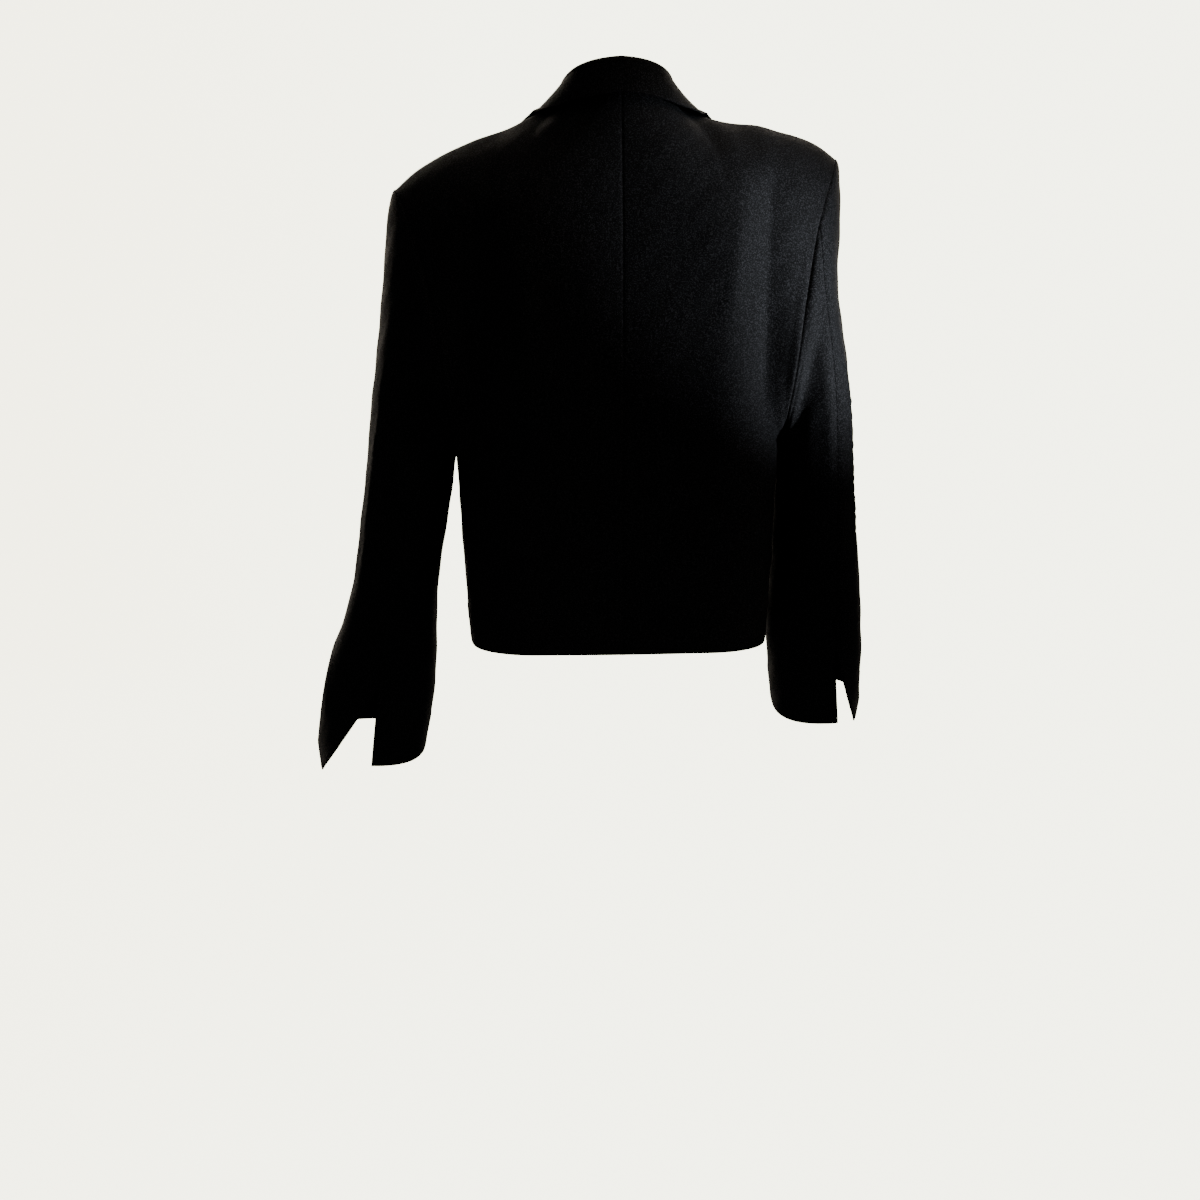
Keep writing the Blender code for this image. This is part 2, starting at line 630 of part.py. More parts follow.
def neckline():
    """The panels' points along the left half of the neckline, from the back to the gorge."""
    line = []
    for rows, runs, total in (
        (BACK_ROWS, NECK_RUNS_BACK, BACK_RUNS),
        (FRONT_ROWS, NECK_RUNS_FRONT, FRONT_RUNS),
    ):
        places, top = shoulder_row(rows, runs / total)
        at = np.arange(runs + 1) / total
        line.append(np.stack([np.interp(at, places, top[:, k]) for k in range(3)], axis=-1))
    return np.concatenate([line[0], line[1][-2::-1]])


def body_tree(grids):
    """A search tree over the body panels, for what must stay clear of them."""
    points = []
    faces = []
    for grid in grids:
        start = len(points)
        rows, columns = grid.shape[:2]
        points += [Vector(p) for p in grid.reshape(-1, 3)]
        for i in range(rows - 1):
            for j in range(columns - 1):
                a = start + i * columns + j
                faces.append((a, a + 1, a + columns + 1, a + columns))
    return BVHTree.FromPolygons(points, faces)


def lifted(point, tree, clear, middle):
    """The point, moved off the body where it lies closer than clear to it."""
    place, normal, _, distance = tree.find_nearest(Vector(point))
    if normal.dot(place - middle) < 0:
        normal = -normal
    height = (Vector(point) - place).dot(normal)
    beside = math.sqrt(max(0, distance**2 - height**2))
    if height < clear and distance < 0.02 and beside < 0.002:
        return np.array(place + normal * clear)
    return point


def make_collar(grids, material):
    """The collar: a stand from the neck seam, a fold and a leaf that falls over the seam."""
    tree = body_tree(grids)
    middle = Vector((0, 0, -0.25))
    line = neckline()
    runs = unit(np.gradient(line, axis=0) * np.array([1, 1, 0.3]))
    runs[0] = (1, 0, 0)
    lengths = np.linalg.norm(np.diff(line, axis=0), axis=1)
    alongs = np.concatenate([[0], np.cumsum(lengths)]) / lengths.sum()
    half = len(line) - 1
    rows = []
    ends = []
    for k in range(-half, half + 1):
        side = SIDES[0] if k >= 0 else SIDES[1]
        along = alongs[abs(k)]
        table = [(c.stand, c.lean, c.leaf, c.slope) for c in COLLAR_SECTIONS]
        knots = [c.along for c in COLLAR_SECTIONS]
        stand, lean, leaf, slope = through(knots, table, along)[0]
        leaf -= side.tuck * math.exp(-(((along - TUCK_ALONG) / TUCK_REACH) ** 2))
        base = line[abs(k)]
        out = unit(np.cross(runs[abs(k)], [0, 0, 1.0]) * -1)
        if np.dot(out, base * np.array([1, 1, 0])) < 0:
            out = -out
        up = np.array([0, 0, 1.0])
        foot = base + up * (SEAM_GAP + CLOTH * 0.6) - out * CLOTH * 0.8
        head = foot + out * lean + up * stand
        section = []
        for j in range(COLLAR_STAND_RUNS):
            t = j / COLLAR_STAND_RUNS
            section.append(foot + (head - foot) * t)
        for j in range(COLLAR_FOLD_RUNS):
            angle = math.pi * j / COLLAR_FOLD_RUNS
            centre = head + out * FOLD_RADIUS
            section.append(centre - out * FOLD_RADIUS * math.cos(angle)
                           + up * FOLD_RADIUS * math.sin(angle))
        start = head + out * FOLD_RADIUS * 2
        fall = math.radians(slope)
        tip = base + out * (leaf * math.cos(fall) + 0.002) - up * (leaf - stand) * math.sin(fall)
        for j in range(COLLAR_LEAF_RUNS + 1):
            t = j / COLLAR_LEAF_RUNS
            section.append(start + (tip - start) * t)
        sewn = ease(along, 0.78, 1.0)
        turn_runs = COLLAR_STAND_RUNS + COLLAR_FOLD_RUNS
        gorge, gorge_normal = gorge_section(side, turn_runs, COLLAR_LEAF_RUNS)
        section = np.array(section)
        section = pose(section + sewn * (gorge - section), side)
        clear = CLOTH + LEAF_CLEARANCE + sewn * (LAPEL_CLEARANCE - LEAF_CLEARANCE)
        section = [
            lifted(p, tree, clear, middle) if n >= turn_runs else p
            for n, p in enumerate(section)
        ]
        rows.append(section)
        ends.append(sewn * gorge_normal)
    grid = np.array(rows)
    ends = np.array(ends)
    share = np.linalg.norm(ends, axis=-1, keepdims=True)
    normal = unit(outward_of(grid, np.array([0, 0, 1.0])) * (1 - share) + ends)
    return walled("collar", grid, normal, material)


def make_buttons(material):
    """Three round front buttons below the break, on the outer right front."""
    side = SIDES[1]
    for number in range(3):
        climb = 0.37 - number * BUTTON_SPACING / 0.60
        place, normal = front_points(side, np.array([climb]), np.array([0.055]))
        place = pose(place, side)[0]
        normal = normal[0] * np.array([side.sign, 1, 1])
        disc = bmesh.new()
        bmesh.ops.create_cone(
            disc, cap_ends=True, segments=20, radius1=BUTTON_RADIUS,
            radius2=BUTTON_RADIUS * 0.86, depth=BUTTON_THICKNESS,
        )
        turn = Vector(normal).to_track_quat("Z", "Y").to_matrix().to_4x4()
        disc.transform(turn)
        lift = SEAM_GAP + BUTTON_THICKNESS / 2 + 0.0006
        for vertex in disc.verts:
            vertex.co += Vector(place + normal * lift)
        mesh = bpy.data.meshes.new(f"button_{number + 1}")
        disc.to_mesh(mesh)
        disc.free()
        mesh.shade_smooth()
        mesh.set_sharp_from_angle(angle=math.radians(40))
        mesh.materials.append(material)
        piece = bpy.data.objects.new(f"button_{number + 1}", mesh)
        bpy.context.scene.collection.objects.link(piece)


def main():
    for item in list(bpy.data.objects):
        bpy.data.objects.remove(item)
    crepe = cloth_material("black crepe", (0.012, 0.012, 0.014), 0.85)
    horn = cloth_material("black horn", (0.015, 0.014, 0.014), 0.35)
    grids = make_body(crepe)
    make_sleeves(crepe)
    for side in SIDES:
        make_lapel(side, crepe)
    make_collar(grids, crepe)
    make_buttons(horn)


main()
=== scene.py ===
"""A black tailored jacket as it is worn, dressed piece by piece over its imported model."""

import json
import math
from collections import namedtuple
from functools import lru_cache

import bpy
import numpy as np
from bpy.props import FloatProperty, FloatVectorProperty, IntProperty, PointerProperty
from mathutils import Matrix, Quaternion, Vector
from mathutils.bvhtree import BVHTree
from mathutils.kdtree import KDTree

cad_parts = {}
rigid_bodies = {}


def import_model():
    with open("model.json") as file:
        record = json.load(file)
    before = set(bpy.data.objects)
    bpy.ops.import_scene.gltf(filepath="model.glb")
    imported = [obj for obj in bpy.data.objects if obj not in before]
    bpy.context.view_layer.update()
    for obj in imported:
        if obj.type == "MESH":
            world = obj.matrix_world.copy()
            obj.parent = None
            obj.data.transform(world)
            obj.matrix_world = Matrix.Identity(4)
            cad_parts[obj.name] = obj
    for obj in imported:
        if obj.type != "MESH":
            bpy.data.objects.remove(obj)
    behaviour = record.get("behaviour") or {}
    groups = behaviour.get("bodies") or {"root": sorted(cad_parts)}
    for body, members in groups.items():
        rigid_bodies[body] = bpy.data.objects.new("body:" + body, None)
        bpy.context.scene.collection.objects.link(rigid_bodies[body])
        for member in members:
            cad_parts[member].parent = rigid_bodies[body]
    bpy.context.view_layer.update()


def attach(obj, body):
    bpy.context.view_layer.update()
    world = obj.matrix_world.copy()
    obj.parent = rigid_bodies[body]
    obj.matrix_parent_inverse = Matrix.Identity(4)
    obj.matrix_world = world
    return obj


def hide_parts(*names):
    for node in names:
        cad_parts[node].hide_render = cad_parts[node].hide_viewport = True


bl_info = {
    "name": "Tailored Jacket",
    "version": (1, 0, 0),
    "blender": (4, 5, 0),
    "location": "View3D > Sidebar > Jacket",
    "description": "Builds the cloth, the buttons and the studio of a tailored jacket",
    "category": "Add Mesh",
}

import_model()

# The jacket's sizes in metres, as in its solids

CLOTH = 0.002               # wall of the cloth
SEAM_GAP = 0.0003           # between two pieces that are sewn together
BACK_LENGTH = 0.572         # neck seam to hem at the middle of the back
SHOULDER_DROP = 0.0155      # each shoulder lies this much off level, the left one low
STAND_HEIGHT = 0.0245       # collar stand at the middle of the back
LEAF_DEPTH = 0.0265         # collar leaf at the middle of the back
LAPEL_WIDTH = 0.086         # lapel from its roll line to its point
VENT_START = 0.81           # share of the sleeve's run where the vent opens
VENT_POWER = 1.1            # how late the vent's outer flap swings out
BUTTON_SPACING = 0.095

# Grid of each panel: runs across, runs up
RUNS_UP = 24
ARMPIT_ROW = 9              # the row of the grid where the armhole starts
HOLE_RUNS = RUNS_UP - ARMPIT_ROW
BACK_RUNS = 16
FRONT_RUNS = 15
SLEEVE_RUNS = 24
LAPEL_RUNS = (9, 14)
LAPEL_TURN_RUNS = 4         # of the lapel's runs across, those round its fold
COLLAR_STAND_RUNS = 2
COLLAR_FOLD_RUNS = 3
COLLAR_LEAF_RUNS = 3
NECK_RUNS_BACK = 6          # of the back's runs across, those along the neckline
NECK_RUNS_FRONT = 5

# Climb runs from 0 at the hem to 1 at the shoulder seam; the armhole starts at this climb
ARMPIT_CLIMB = ARMPIT_ROW / RUNS_UP

Hole = namedtuple("Hole", "name x y z")
ARMHOLE = (
    Hole("armpit", 0.168, 0.000, -0.368),
    Hole("back low", 0.171, 0.038, -0.350),
    Hole("back notch", 0.178, 0.062, -0.300),
    Hole("back middle", 0.188, 0.071, -0.228),
    Hole("back high", 0.202, 0.063, -0.154),
    Hole("back crown", 0.219, 0.036, -0.105),
    Hole("shoulder tip", 0.2285, -0.004, -0.0865),
    Hole("front crown", 0.220, -0.036, -0.108),
    Hole("front high", 0.202, -0.056, -0.154),
    Hole("front middle", 0.187, -0.066, -0.228),
    Hole("front notch", 0.177, -0.060, -0.300),
    Hole("front low", 0.171, -0.036, -0.350),
)

# One side of the jacket: its sign in X, how far the arm is swung out, the turn of the forearm,
# how far the upper sleeve is pressed in, its elbow lies towards the body and its cuff bells out,
# how much shorter the sleeve hangs, how far the vent's flap swings out, how much narrower the
# collar lies on the shoulder, and whether this front wraps over the other
Side = namedtuple(
    "Side", "name sign swing twist press near bell short flare_x flare_y flare_z tuck wrap"
)
SIDES = (
    Side("left", 1, 0.0145, -5.0, 0.002, 0.000, 0.011, 0.000,
         0.053, 0.020, 0.005, 0.010, False),
    Side("right", -1, -0.0145, 5.0, 0.010, 0.010, -0.009, 0.008,
         0.0175, 0.008, 0.006, 0.001, True),
)
DROP_ACROSS = (0.07, 0.23)  # the low shoulder's drop sets in between these distances in X
DROP_UP = (-0.56, -0.37)    # and between these heights
TUCK_ALONG = 0.66           # where along the half collar it lies narrower
TUCK_REACH = 0.13           # and how far that reaches
PRESS_HEIGHT = -0.215       # where the upper sleeve is pressed in most
PRESS_REACH = 0.07
NEAR_RUN = 0.58             # the run where the sleeve lies nearest to the body
NEAR_REACH = 0.16
BELL_RUNS = (0.60, 0.92)    # the cuff's bell sets in between these runs

# The side seam, from the hem to the armpit
Seam = namedtuple("Seam", "name climb x y z")
SIDE_SEAM = (
    Seam("hem", 0.00, 0.156, 0.000, -0.5700),
    Seam("waist", 0.20, 0.163, 0.000, -0.4650),
    Seam("armpit", ARMPIT_CLIMB, 0.168, 0.000, -0.3680),
)

# Rows of a panel from its middle edge to its side: where the middle lies, how square the
# corner is, how far round the row turns, and how far it swells between its ends
Row = namedtuple("Row", "name climb mid_x mid_y mid_z square turn swell")
BACK_ROWS = (
    Row("hem", 0.00, 0.0, 0.108, -BACK_LENGTH, 4.6, 90, 0.0),
    Row("waist", 0.22, 0.0, 0.101, -0.445, 4.6, 90, 0.0),
    Row("armpit", ARMPIT_CLIMB, 0.0, 0.101, -0.352, 4.4, 88, 0.0),
    Row("blade", 0.58, 0.0, 0.103, -0.240, 3.8, 68, 0.002),
    Row("yoke", 0.78, 0.0, 0.096, -0.125, 3.0, 62, 0.006),
    Row("crest", 0.90, 0.0, 0.085, -0.055, 2.6, 64, 0.008),
    Row("neck", 1.00, 0.0, 0.073, 0.000, 2.4, 68, 0.006),
)
FRONT_ROWS = (
    Row("hem", 0.00, -0.020, -0.118, -0.5760, 3.2, 90, 0.0),
    Row("waist", 0.22, -0.020, -0.114, -0.4500, 3.0, 90, 0.0),
    Row("break", 0.41, -0.020, -0.122, -0.3380, 2.8, 82, 0.004),
    Row("bust", 0.58, 0.000, -0.119, -0.2480, 2.8, 66, 0.008),
    Row("chest", 0.78, 0.024, -0.096, -0.1420, 2.6, 62, 0.012),
    Row("collar bone", 0.90, 0.039, -0.071, -0.0820, 2.4, 64, 0.010),
    Row("gorge", 1.00, 0.052, -0.048, -0.0400, 2.2, 68, 0.006),
)
NECK_POINT = (0.060, 0.000, -0.0175)

# The shoulder seam, from the neckline to the armhole
Shoulder = namedtuple("Shoulder", "name x y z")
SHOULDER_SEAM = (
    Shoulder("neck point", 0.060, 0.000, -0.0175),
    Shoulder("collar edge", 0.082, 0.000, -0.0250),
    Shoulder("hollow", 0.110, 0.000, -0.0385),
    Shoulder("pad", 0.150, -0.001, -0.0480),
    Shoulder("pad middle", 0.186, -0.002, -0.0595),
    Shoulder("pad edge", 0.212, -0.003, -0.0730),
    Shoulder("shoulder tip", 0.2285, -0.004, -0.0865),
)
OVER_START = 0.76           # climb above which a panel bends over towards the shoulder seam
OVER_POWER = 2.6            # how late it bends
FRONT_LAP = 0.0032          # how far the left front lies behind the right one
LAPEL_LAP = 0.0042          # and how much more where its lapel lies between them
LAP_ACROSS = (0.024, 0.080)  # the left front comes level again between these distances in X
LAP_CLIMBS = (0.64, 0.82)   # and between these climbs
DENSE_UP = 120              # runs of the dense front that points are read from
DENSE_ACROSS = 96

# Soft drape folds of the back: where each stands across the row at its top and its foot
Fold = namedtuple("Fold", "name sign x_top x_foot climb_top climb_foot height width")
BACK_FOLDS = (
    Fold("right blade", -1, 0.106, 0.108, 0.93, 0.00, 0.0046, 0.030),
    Fold("right inner", -1, 0.127, 0.105, 0.92, 0.55, 0.0025, 0.012),
    Fold("left blade", 1, 0.106, 0.106, 0.90, 0.00, 0.0040, 0.030),
    Fold("left inner", 1, 0.112, 0.100, 0.86, 0.50, 0.0020, 0.014),
)
FOLD_FADE_TOP = 0.22        # a fold sets in over this much climb at its top
FOLD_FADE_FOOT = 0.18       # and over this much at its foot
FOLD_BEHIND = (0.02, 0.07)  # and folds set in between these distances behind the middle
FOLD_EDGE = 4               # a fold fades in over one part in this many of its row
CROWD_AT = 0.145            # the rows' points crowd about this distance in X
CROWD_WIDTH = 0.030
CROWD_SHARE = 1.3

# Rings of the sleeve below its head: the middle, half the width and half the depth
Ring = namedtuple("Ring", "name run x y z half_width half_depth rise")
SLEEVE_RINGS = (
    Ring("bicep", 0.42, 0.2160, 0.000, -0.3950, 0.0425, 0.070, 0.000),
    Ring("elbow", 0.60, 0.2260, -0.003, -0.4900, 0.0420, 0.062, 0.003),
    Ring("forearm", 0.82, 0.2343, -0.018, -0.6000, 0.0543, 0.055, 0.009),
    Ring("cuff", 1.00, 0.2440, -0.035, -0.6840, 0.0540, 0.050, 0.014),
)
SLEEVE_SQUARE = 2.6
HEAD_REACH = 0.034          # how far the sleeve head stands out of the armhole
HEAD_PUFF = 0.013           # and how far it rises over the seam
HEAD_CROWD = 1.35           # the head's rings crowd towards the seam
HEAD_SPAN = 0.16            # a sleeve head that spans less than this stands out less
HEAD_STEP = 0.01            # the step of run that gives the direction below the head
PRESS_START = 0.25          # the share of the head where the press is all there
HOLE_CENTRE = np.array([0.0, 0.003, -0.225])
SWING_TOP = -0.10           # the arm swings from this height
SWING_LENGTH = 0.54         # and fully at this length below it
SWING_INNER = (0.40, 0.60)  # its inner side joins in between these depths
# The sleeve's seams, as places round the armhole: 0 armpit, 1 shoulder tip, 2 armpit again
FOREARM_SEAM = -4 / HOLE_RUNS
HINDARM_AT_HEAD = 10 / HOLE_RUNS
HINDARM_AT_CUFF = 0.539
HINDARM_RUN = 0.7           # the run where the hindarm seam has come to its place at the cuff
UNDER_SLEEVE_RUNS = 14
TOP_SLEEVE_RUNS = 2 * HOLE_RUNS - UNDER_SLEEVE_RUNS

# The collar along half the neckline: 0 at the middle of the back, 1 at the gorge
Collar = namedtuple("Collar", "name along stand lean leaf slope")
COLLAR_SECTIONS = (
    Collar("middle back", 0.00, STAND_HEIGHT, -0.006, LEAF_DEPTH, 82),
    Collar("side back", 0.35, 0.022, -0.007, 0.031, 66),
    Collar("neck point", 0.66, 0.014, -0.008, 0.037, 30),
    Collar("corner", 0.88, 0.009, -0.006, 0.066, 40),
    Collar("gorge", 1.00, 0.005, -0.004, 0.052, 46),
)
COLLAR_TO_GORGE = (0.78, 1.0)  # the collar turns into its end between these places
NECK_RISE = 0.3             # how much of its rise the neckline's direction keeps
FOOT_UP = 0.6               # the stand's foot over the neckline, in walls of cloth
FOOT_IN = 0.8               # and inside of it
TIP_OUT = 0.002             # the leaf's edge stands this much further out
BODY_MIDDLE = (0, 0, -0.25)  # the panels' outsides face away from here
CLEAR_REACH = 0.02          # points of the leaf further off the body than this stay
CLEAR_BESIDE = 0.002        # and so do those further beside it
FOLD_RADIUS = 0.0045        # outer radius where the collar and the lapels turn over
LEAF_CLEARANCE = 0.0034     # under the leaf's wall
LAPEL_CLEARANCE = 0.0016    # under the lapel's wall
LAPEL_FREE = (0.30, 0.62)   # the under lapel stands free between these shares of its roll line
LAPEL_FREE_OVER = (-0.15, 0.35)  # and the upper one between these
LAPEL_SETTLE = 3.5          # how fast the lapel comes down from its roll
NOTCH_CLIMB = 0.815         # climb of the lapel's point
BREAK_CLIMB = 10 / RUNS_UP  # climb where the lapel starts to turn
LAPEL_LAP_CLIMBS = (BREAK_CLIMB - 0.10, BREAK_CLIMB - 0.01)
GORGE_GAP = 0.0006          # between the lapel's top edge and the collar's end
GORGE_SHARE = 0.6           # of the lapel's top edge, the part sewn to the collar
GORGE_EASE = 0.0018         # how much further the roll stands off the front's edge at its top
GORGE_EASE_UP = (0.6, 0.95)  # and between which shares of the roll line that sets in
LAPEL_CURVE = 0.8           # how the lapel widens up its roll line
ROW_LENGTH_BREAK = 0.300    # length of the front's rows at the break and at the notch
ROW_LENGTH_NOTCH = 0.200

# Rough outward directions of the front and of the back
AHEAD = np.array([0, -1, 0.2])
BEHIND = np.array([0, 1, 0.2])
WELD = 0.00002              # points of two grids closer than this are one seam point


def between(t, start, leave, end, arrive):
    """A smooth curve from start to end, with the directions that it leaves and arrives in."""
    first = (2 * t**3 - 3 * t**2 + 1) * start + (t**3 - 2 * t**2 + t) * leave
    return first + (3 * t**2 - 2 * t**3) * end + (t**3 - t**2) * arrive


def through(knots, values, at):
    """Smooth curve through a table's values, read at one place or at many."""
    knots = np.asarray(knots, float)
    values = np.asarray(values, float)
    slopes = np.gradient(values, knots, axis=0)
    at = np.atleast_1d(at).astype(float)
    left = np.clip(np.searchsorted(knots, at, side="right") - 1, 0, len(knots) - 2)
    step = knots[left + 1] - knots[left]
    t = (at - knots[left]) / step
    if values.ndim > 1:
        t = t[:, None]
        step = step[:, None]
    right = left + 1
    return between(t, values[left], step * slopes[left], values[right], step * slopes[right])


def ease(value, low, high):
    """0 below low, 1 above high, and smooth between."""
    t = np.clip((np.asarray(value, float) - low) / (high - low), 0, 1)
    return t * t * (3 - 2 * t)


def hump(offset, width):
    """1 where the offset is 0, and less the more widths it measures."""
    return np.exp(-((offset / width) ** 2))


def unit(vectors):
    """The same directions at length 1."""
    length = np.linalg.norm(vectors, axis=-1, keepdims=True)
    return vectors / np.maximum(length, 1e-12)


def read_line(at, knots, line):
    """Points of a line at places between its knots."""
    return np.stack([np.interp(at, knots, line[:, k]) for k in range(3)], axis=-1)


def spread(points, shares):
    """Points at the given shares of a dense line's length."""
    steps = np.linalg.norm(np.diff(points, axis=0), axis=1)
    length = np.concatenate([[0], np.cumsum(steps)])
    length /= length[-1]
    return read_line(shares, length, points)


def mirrored(normal, side):
    """Normals of the left half, turned to a side."""
    return normal * np.array([side.sign, 1, 1])


def pose(points, side, arm=0.0):
    """The wearer's stance, with one shoulder low, and then the side's sign."""
    out = np.array(points, float)
    held = arm + (1 - arm) * ease(out[..., 0], *DROP_ACROSS) * ease(out[..., 2], *DROP_UP)
    out[..., 2] -= side.sign * SHOULDER_DROP * held
    out[..., 0] *= side.sign
    return out


def armhole(places):
    """Points of the armhole at places from 0, armpit, over 1, shoulder tip, to 2, armpit."""
    count = len(ARMHOLE)
    reach = 3
    rows = [ARMHOLE[k % count] for k in range(-reach, count + reach + 1)]
    knots = [2 * k / count for k in range(-reach, count + reach + 1)]
    return through(knots, [(r.x, r.y, r.z) for r in rows], np.mod(places, 2))


def side_edge(climb, hole_sign):
    """The outer edge of a panel: the side seam, then its half of the armhole."""
    if climb <= ARMPIT_CLIMB:
        seam = through([s.climb for s in SIDE_SEAM], [(s.x, s.y, s.z) for s in SIDE_SEAM], climb)
        return seam[0]
    place = (climb - ARMPIT_CLIMB) / (1 - ARMPIT_CLIMB)
    return armhole(np.array([hole_sign * place]))[0]


def plain_row(rows, climb, hole_sign):
    """A dense row of a panel from its middle edge to its outer edge, without the shoulder."""
    table = [(r.mid_x, r.mid_y, r.mid_z, r.square, r.turn, r.swell) for r in rows]
    mid_x, mid_y, mid_z, square, turn, swell = through([r.climb for r in rows], table, climb)[0]
    edge = side_edge(climb, hole_sign)
    t = np.linspace(0, math.radians(min(turn, 90)), 140)
    across = np.sin(t) ** (2 / square)
    deep = 1 - np.maximum(np.cos(t), 0) ** (2 / square)
    across /= across[-1]
    deep /= deep[-1]
    x = mid_x + (edge[0] - mid_x) * across
    y = mid_y + (edge[1] - mid_y) * deep + hole_sign * swell * np.sin(math.pi * across)
    z = mid_z + (edge[2] - mid_z) * across**2
    return np.stack([x, y, z], axis=-1)


def shoulder_row(rows, neck_share):
    """The dense top row: along the neckline to the neck point, then along the shoulder seam."""
    start = np.array([rows[-1].mid_x, rows[-1].mid_y, rows[-1].mid_z])
    point = np.array(NECK_POINT)
    turn = np.linspace(0, math.pi / 2, 60)
    neck = np.stack(
        [
            start[0] + (point[0] - start[0]) * np.sin(turn),
            point[1] + (start[1] - point[1]) * np.cos(turn),
            start[2] + (point[2] - start[2]) * (1 - np.cos(turn)),
        ],
        axis=-1,
    )
    across = np.linspace(NECK_POINT[0], SHOULDER_SEAM[-1].x, 60)
    table = [(s.x, s.y, s.z) for s in SHOULDER_SEAM]
    seam = through([s.x for s in SHOULDER_SEAM], table, across)
    on_neck = spread(neck, np.linspace(0, 1, 41))
    on_seam = spread(seam, np.linspace(0, 1, 81))
    places = np.concatenate([np.linspace(0, neck_share, 41), np.linspace(neck_share, 1, 81)[1:]])
    return places, np.concatenate([on_neck, on_seam[1:]])


def crowded(line):
    """Shares along a line, with points crowded at its fold."""
    middle = (line[1:] + line[:-1]) / 2
    steps = np.linalg.norm(np.diff(line, axis=0), axis=1)
    steps = steps * (1 + CROWD_SHARE * hump(middle[:, 0] - CROWD_AT, CROWD_WIDTH))
    total = np.concatenate([[0], np.cumsum(steps)])
    return total / total[-1]


def panel_row(rows, climb, hole_sign, neck_share, shares):
    """One row of a panel at the given shares from its middle edge to its outer edge."""
    def plain(at_climb):
        line = plain_row(rows, at_climb, hole_sign)
        return read_line(shares, crowded(line), line)

    shares = np.atleast_1d(shares)
    out = plain(climb)
    if climb > OVER_START:
        weight = ((climb - OVER_START) / (1 - OVER_START)) ** OVER_POWER
        places, top = shoulder_row(rows, neck_share)
        out = out + weight * (read_line(shares, places, top) - plain(1.0))
    return out


def outward_of(grid, away):
    """Unit normals of a grid of points, turned to the side that away points to."""
    across = np.gradient(grid, axis=1)
    up = np.gradient(grid, axis=0)
    normal = unit(np.cross(across, up))
    if (normal * away).sum() < 0:
        normal = -normal
    return normal


def back_grid(side, runs, climbs):
    """The back half panel's outer points, with its drape folds."""
    shares = np.linspace(0, 1, runs + 1)
    neck_share = NECK_RUNS_BACK / BACK_RUNS
    grid = np.array([panel_row(BACK_ROWS, c, 1, neck_share, shares) for c in climbs])
    normal = outward_of(grid, BEHIND)
    for fold in BACK_FOLDS:
        if fold.sign != side.sign:
            continue
        reach = np.clip((fold.climb_top - climbs) / (fold.climb_top - fold.climb_foot), 0, 1)
        centre = fold.x_top + (fold.x_foot - fold.x_top) * reach
        fade = ease(climbs, fold.climb_top, fold.climb_top - FOLD_FADE_TOP)
        if fold.climb_foot > 0:
            fade = fade * ease(climbs, fold.climb_foot, fold.climb_foot + FOLD_FADE_FOOT)
        near = hump(grid[..., 0] - centre[:, None], fold.width)
        behind = ease(grid[..., 1], *FOLD_BEHIND)
        at_edges = np.minimum(1, FOLD_EDGE * np.minimum(shares, 1 - shares))
        grid = grid + (fold.height * fade[:, None] * near * behind * at_edges)[..., None] * normal
    return grid


def front_grid(side, runs, climbs):
    """The front half panel's outer points; the left one passes behind the right one."""
    shares = np.linspace(0, 1, runs + 1)
    neck_share = NECK_RUNS_FRONT / FRONT_RUNS
    grid = np.array([panel_row(FRONT_ROWS, c, -1, neck_share, shares) for c in climbs])
    behind = (1 - ease(grid[..., 0], *LAP_ACROSS)) * (1 - side.wrap)
    lapel = LAPEL_LAP * ease(climbs, *LAPEL_LAP_CLIMBS)
    lapped = (FRONT_LAP + lapel) * (1 - ease(climbs, *LAP_CLIMBS))
    grid[..., 1] += lapped[:, None] * behind
    return grid


def front_points(side, climbs, shares):
    """Points of the front panel anywhere, for what lies on it, with their outward normals."""
    dense = front_grid(side, DENSE_ACROSS, np.linspace(0, 1, DENSE_UP + 1))
    normal = outward_of(dense, AHEAD)
    row = np.clip(climbs, 0, 1) * DENSE_UP
    column = np.clip(shares, 0, 1) * DENSE_ACROSS
    i = np.clip(np.floor(row).astype(int), 0, DENSE_UP - 1)
    j = np.clip(np.floor(column).astype(int), 0, DENSE_ACROSS - 1)
    a = (row - i)[..., None]
    b = (column - j)[..., None]

    def mix(field):
        low = field[i, j] * (1 - b) + field[i, j + 1] * b
        high = field[i + 1, j] * (1 - b) + field[i + 1, j + 1] * b
        return low * (1 - a) + high * a

    return mix(dense), unit(mix(normal))


def sleeve_ring(run, places, side):
    """Points round the sleeve below its head, at a run from 0, armhole, to 1, cuff."""
    table = [(r.x, r.y, r.z, r.half_width, r.half_depth, r.rise) for r in SLEEVE_RINGS]
    x, y, z, half_width, half_depth, rise = through([r.run for r in SLEEVE_RINGS], table, run)[0]
    angle = math.pi * places + math.radians(side.twist) * run**2
    cosine = np.sign(np.cos(angle)) * np.abs(np.cos(angle)) ** (2 / SLEEVE_SQUARE)
    sine = np.sign(np.sin(angle)) * np.abs(np.sin(angle)) ** (2 / SLEEVE_SQUARE)
    swing = side.swing * (SWING_TOP - z) / SWING_LENGTH
    inner_share = ease(-z, *SWING_INNER)
    swing = swing * (inner_share + (1 - inner_share) * (1 - cosine) / 2)
    swing = swing + side.bell * ease(run, *BELL_RUNS) * np.maximum(0, -cosine)
    swing = swing - side.near * hump(run - NEAR_RUN, NEAR_REACH) * np.maximum(0, cosine)
    z = z + side.short * run**2
    return np.stack(
        [x - half_width * cosine + swing, y + half_depth * sine, z - rise * sine],
        axis=-1,
    )


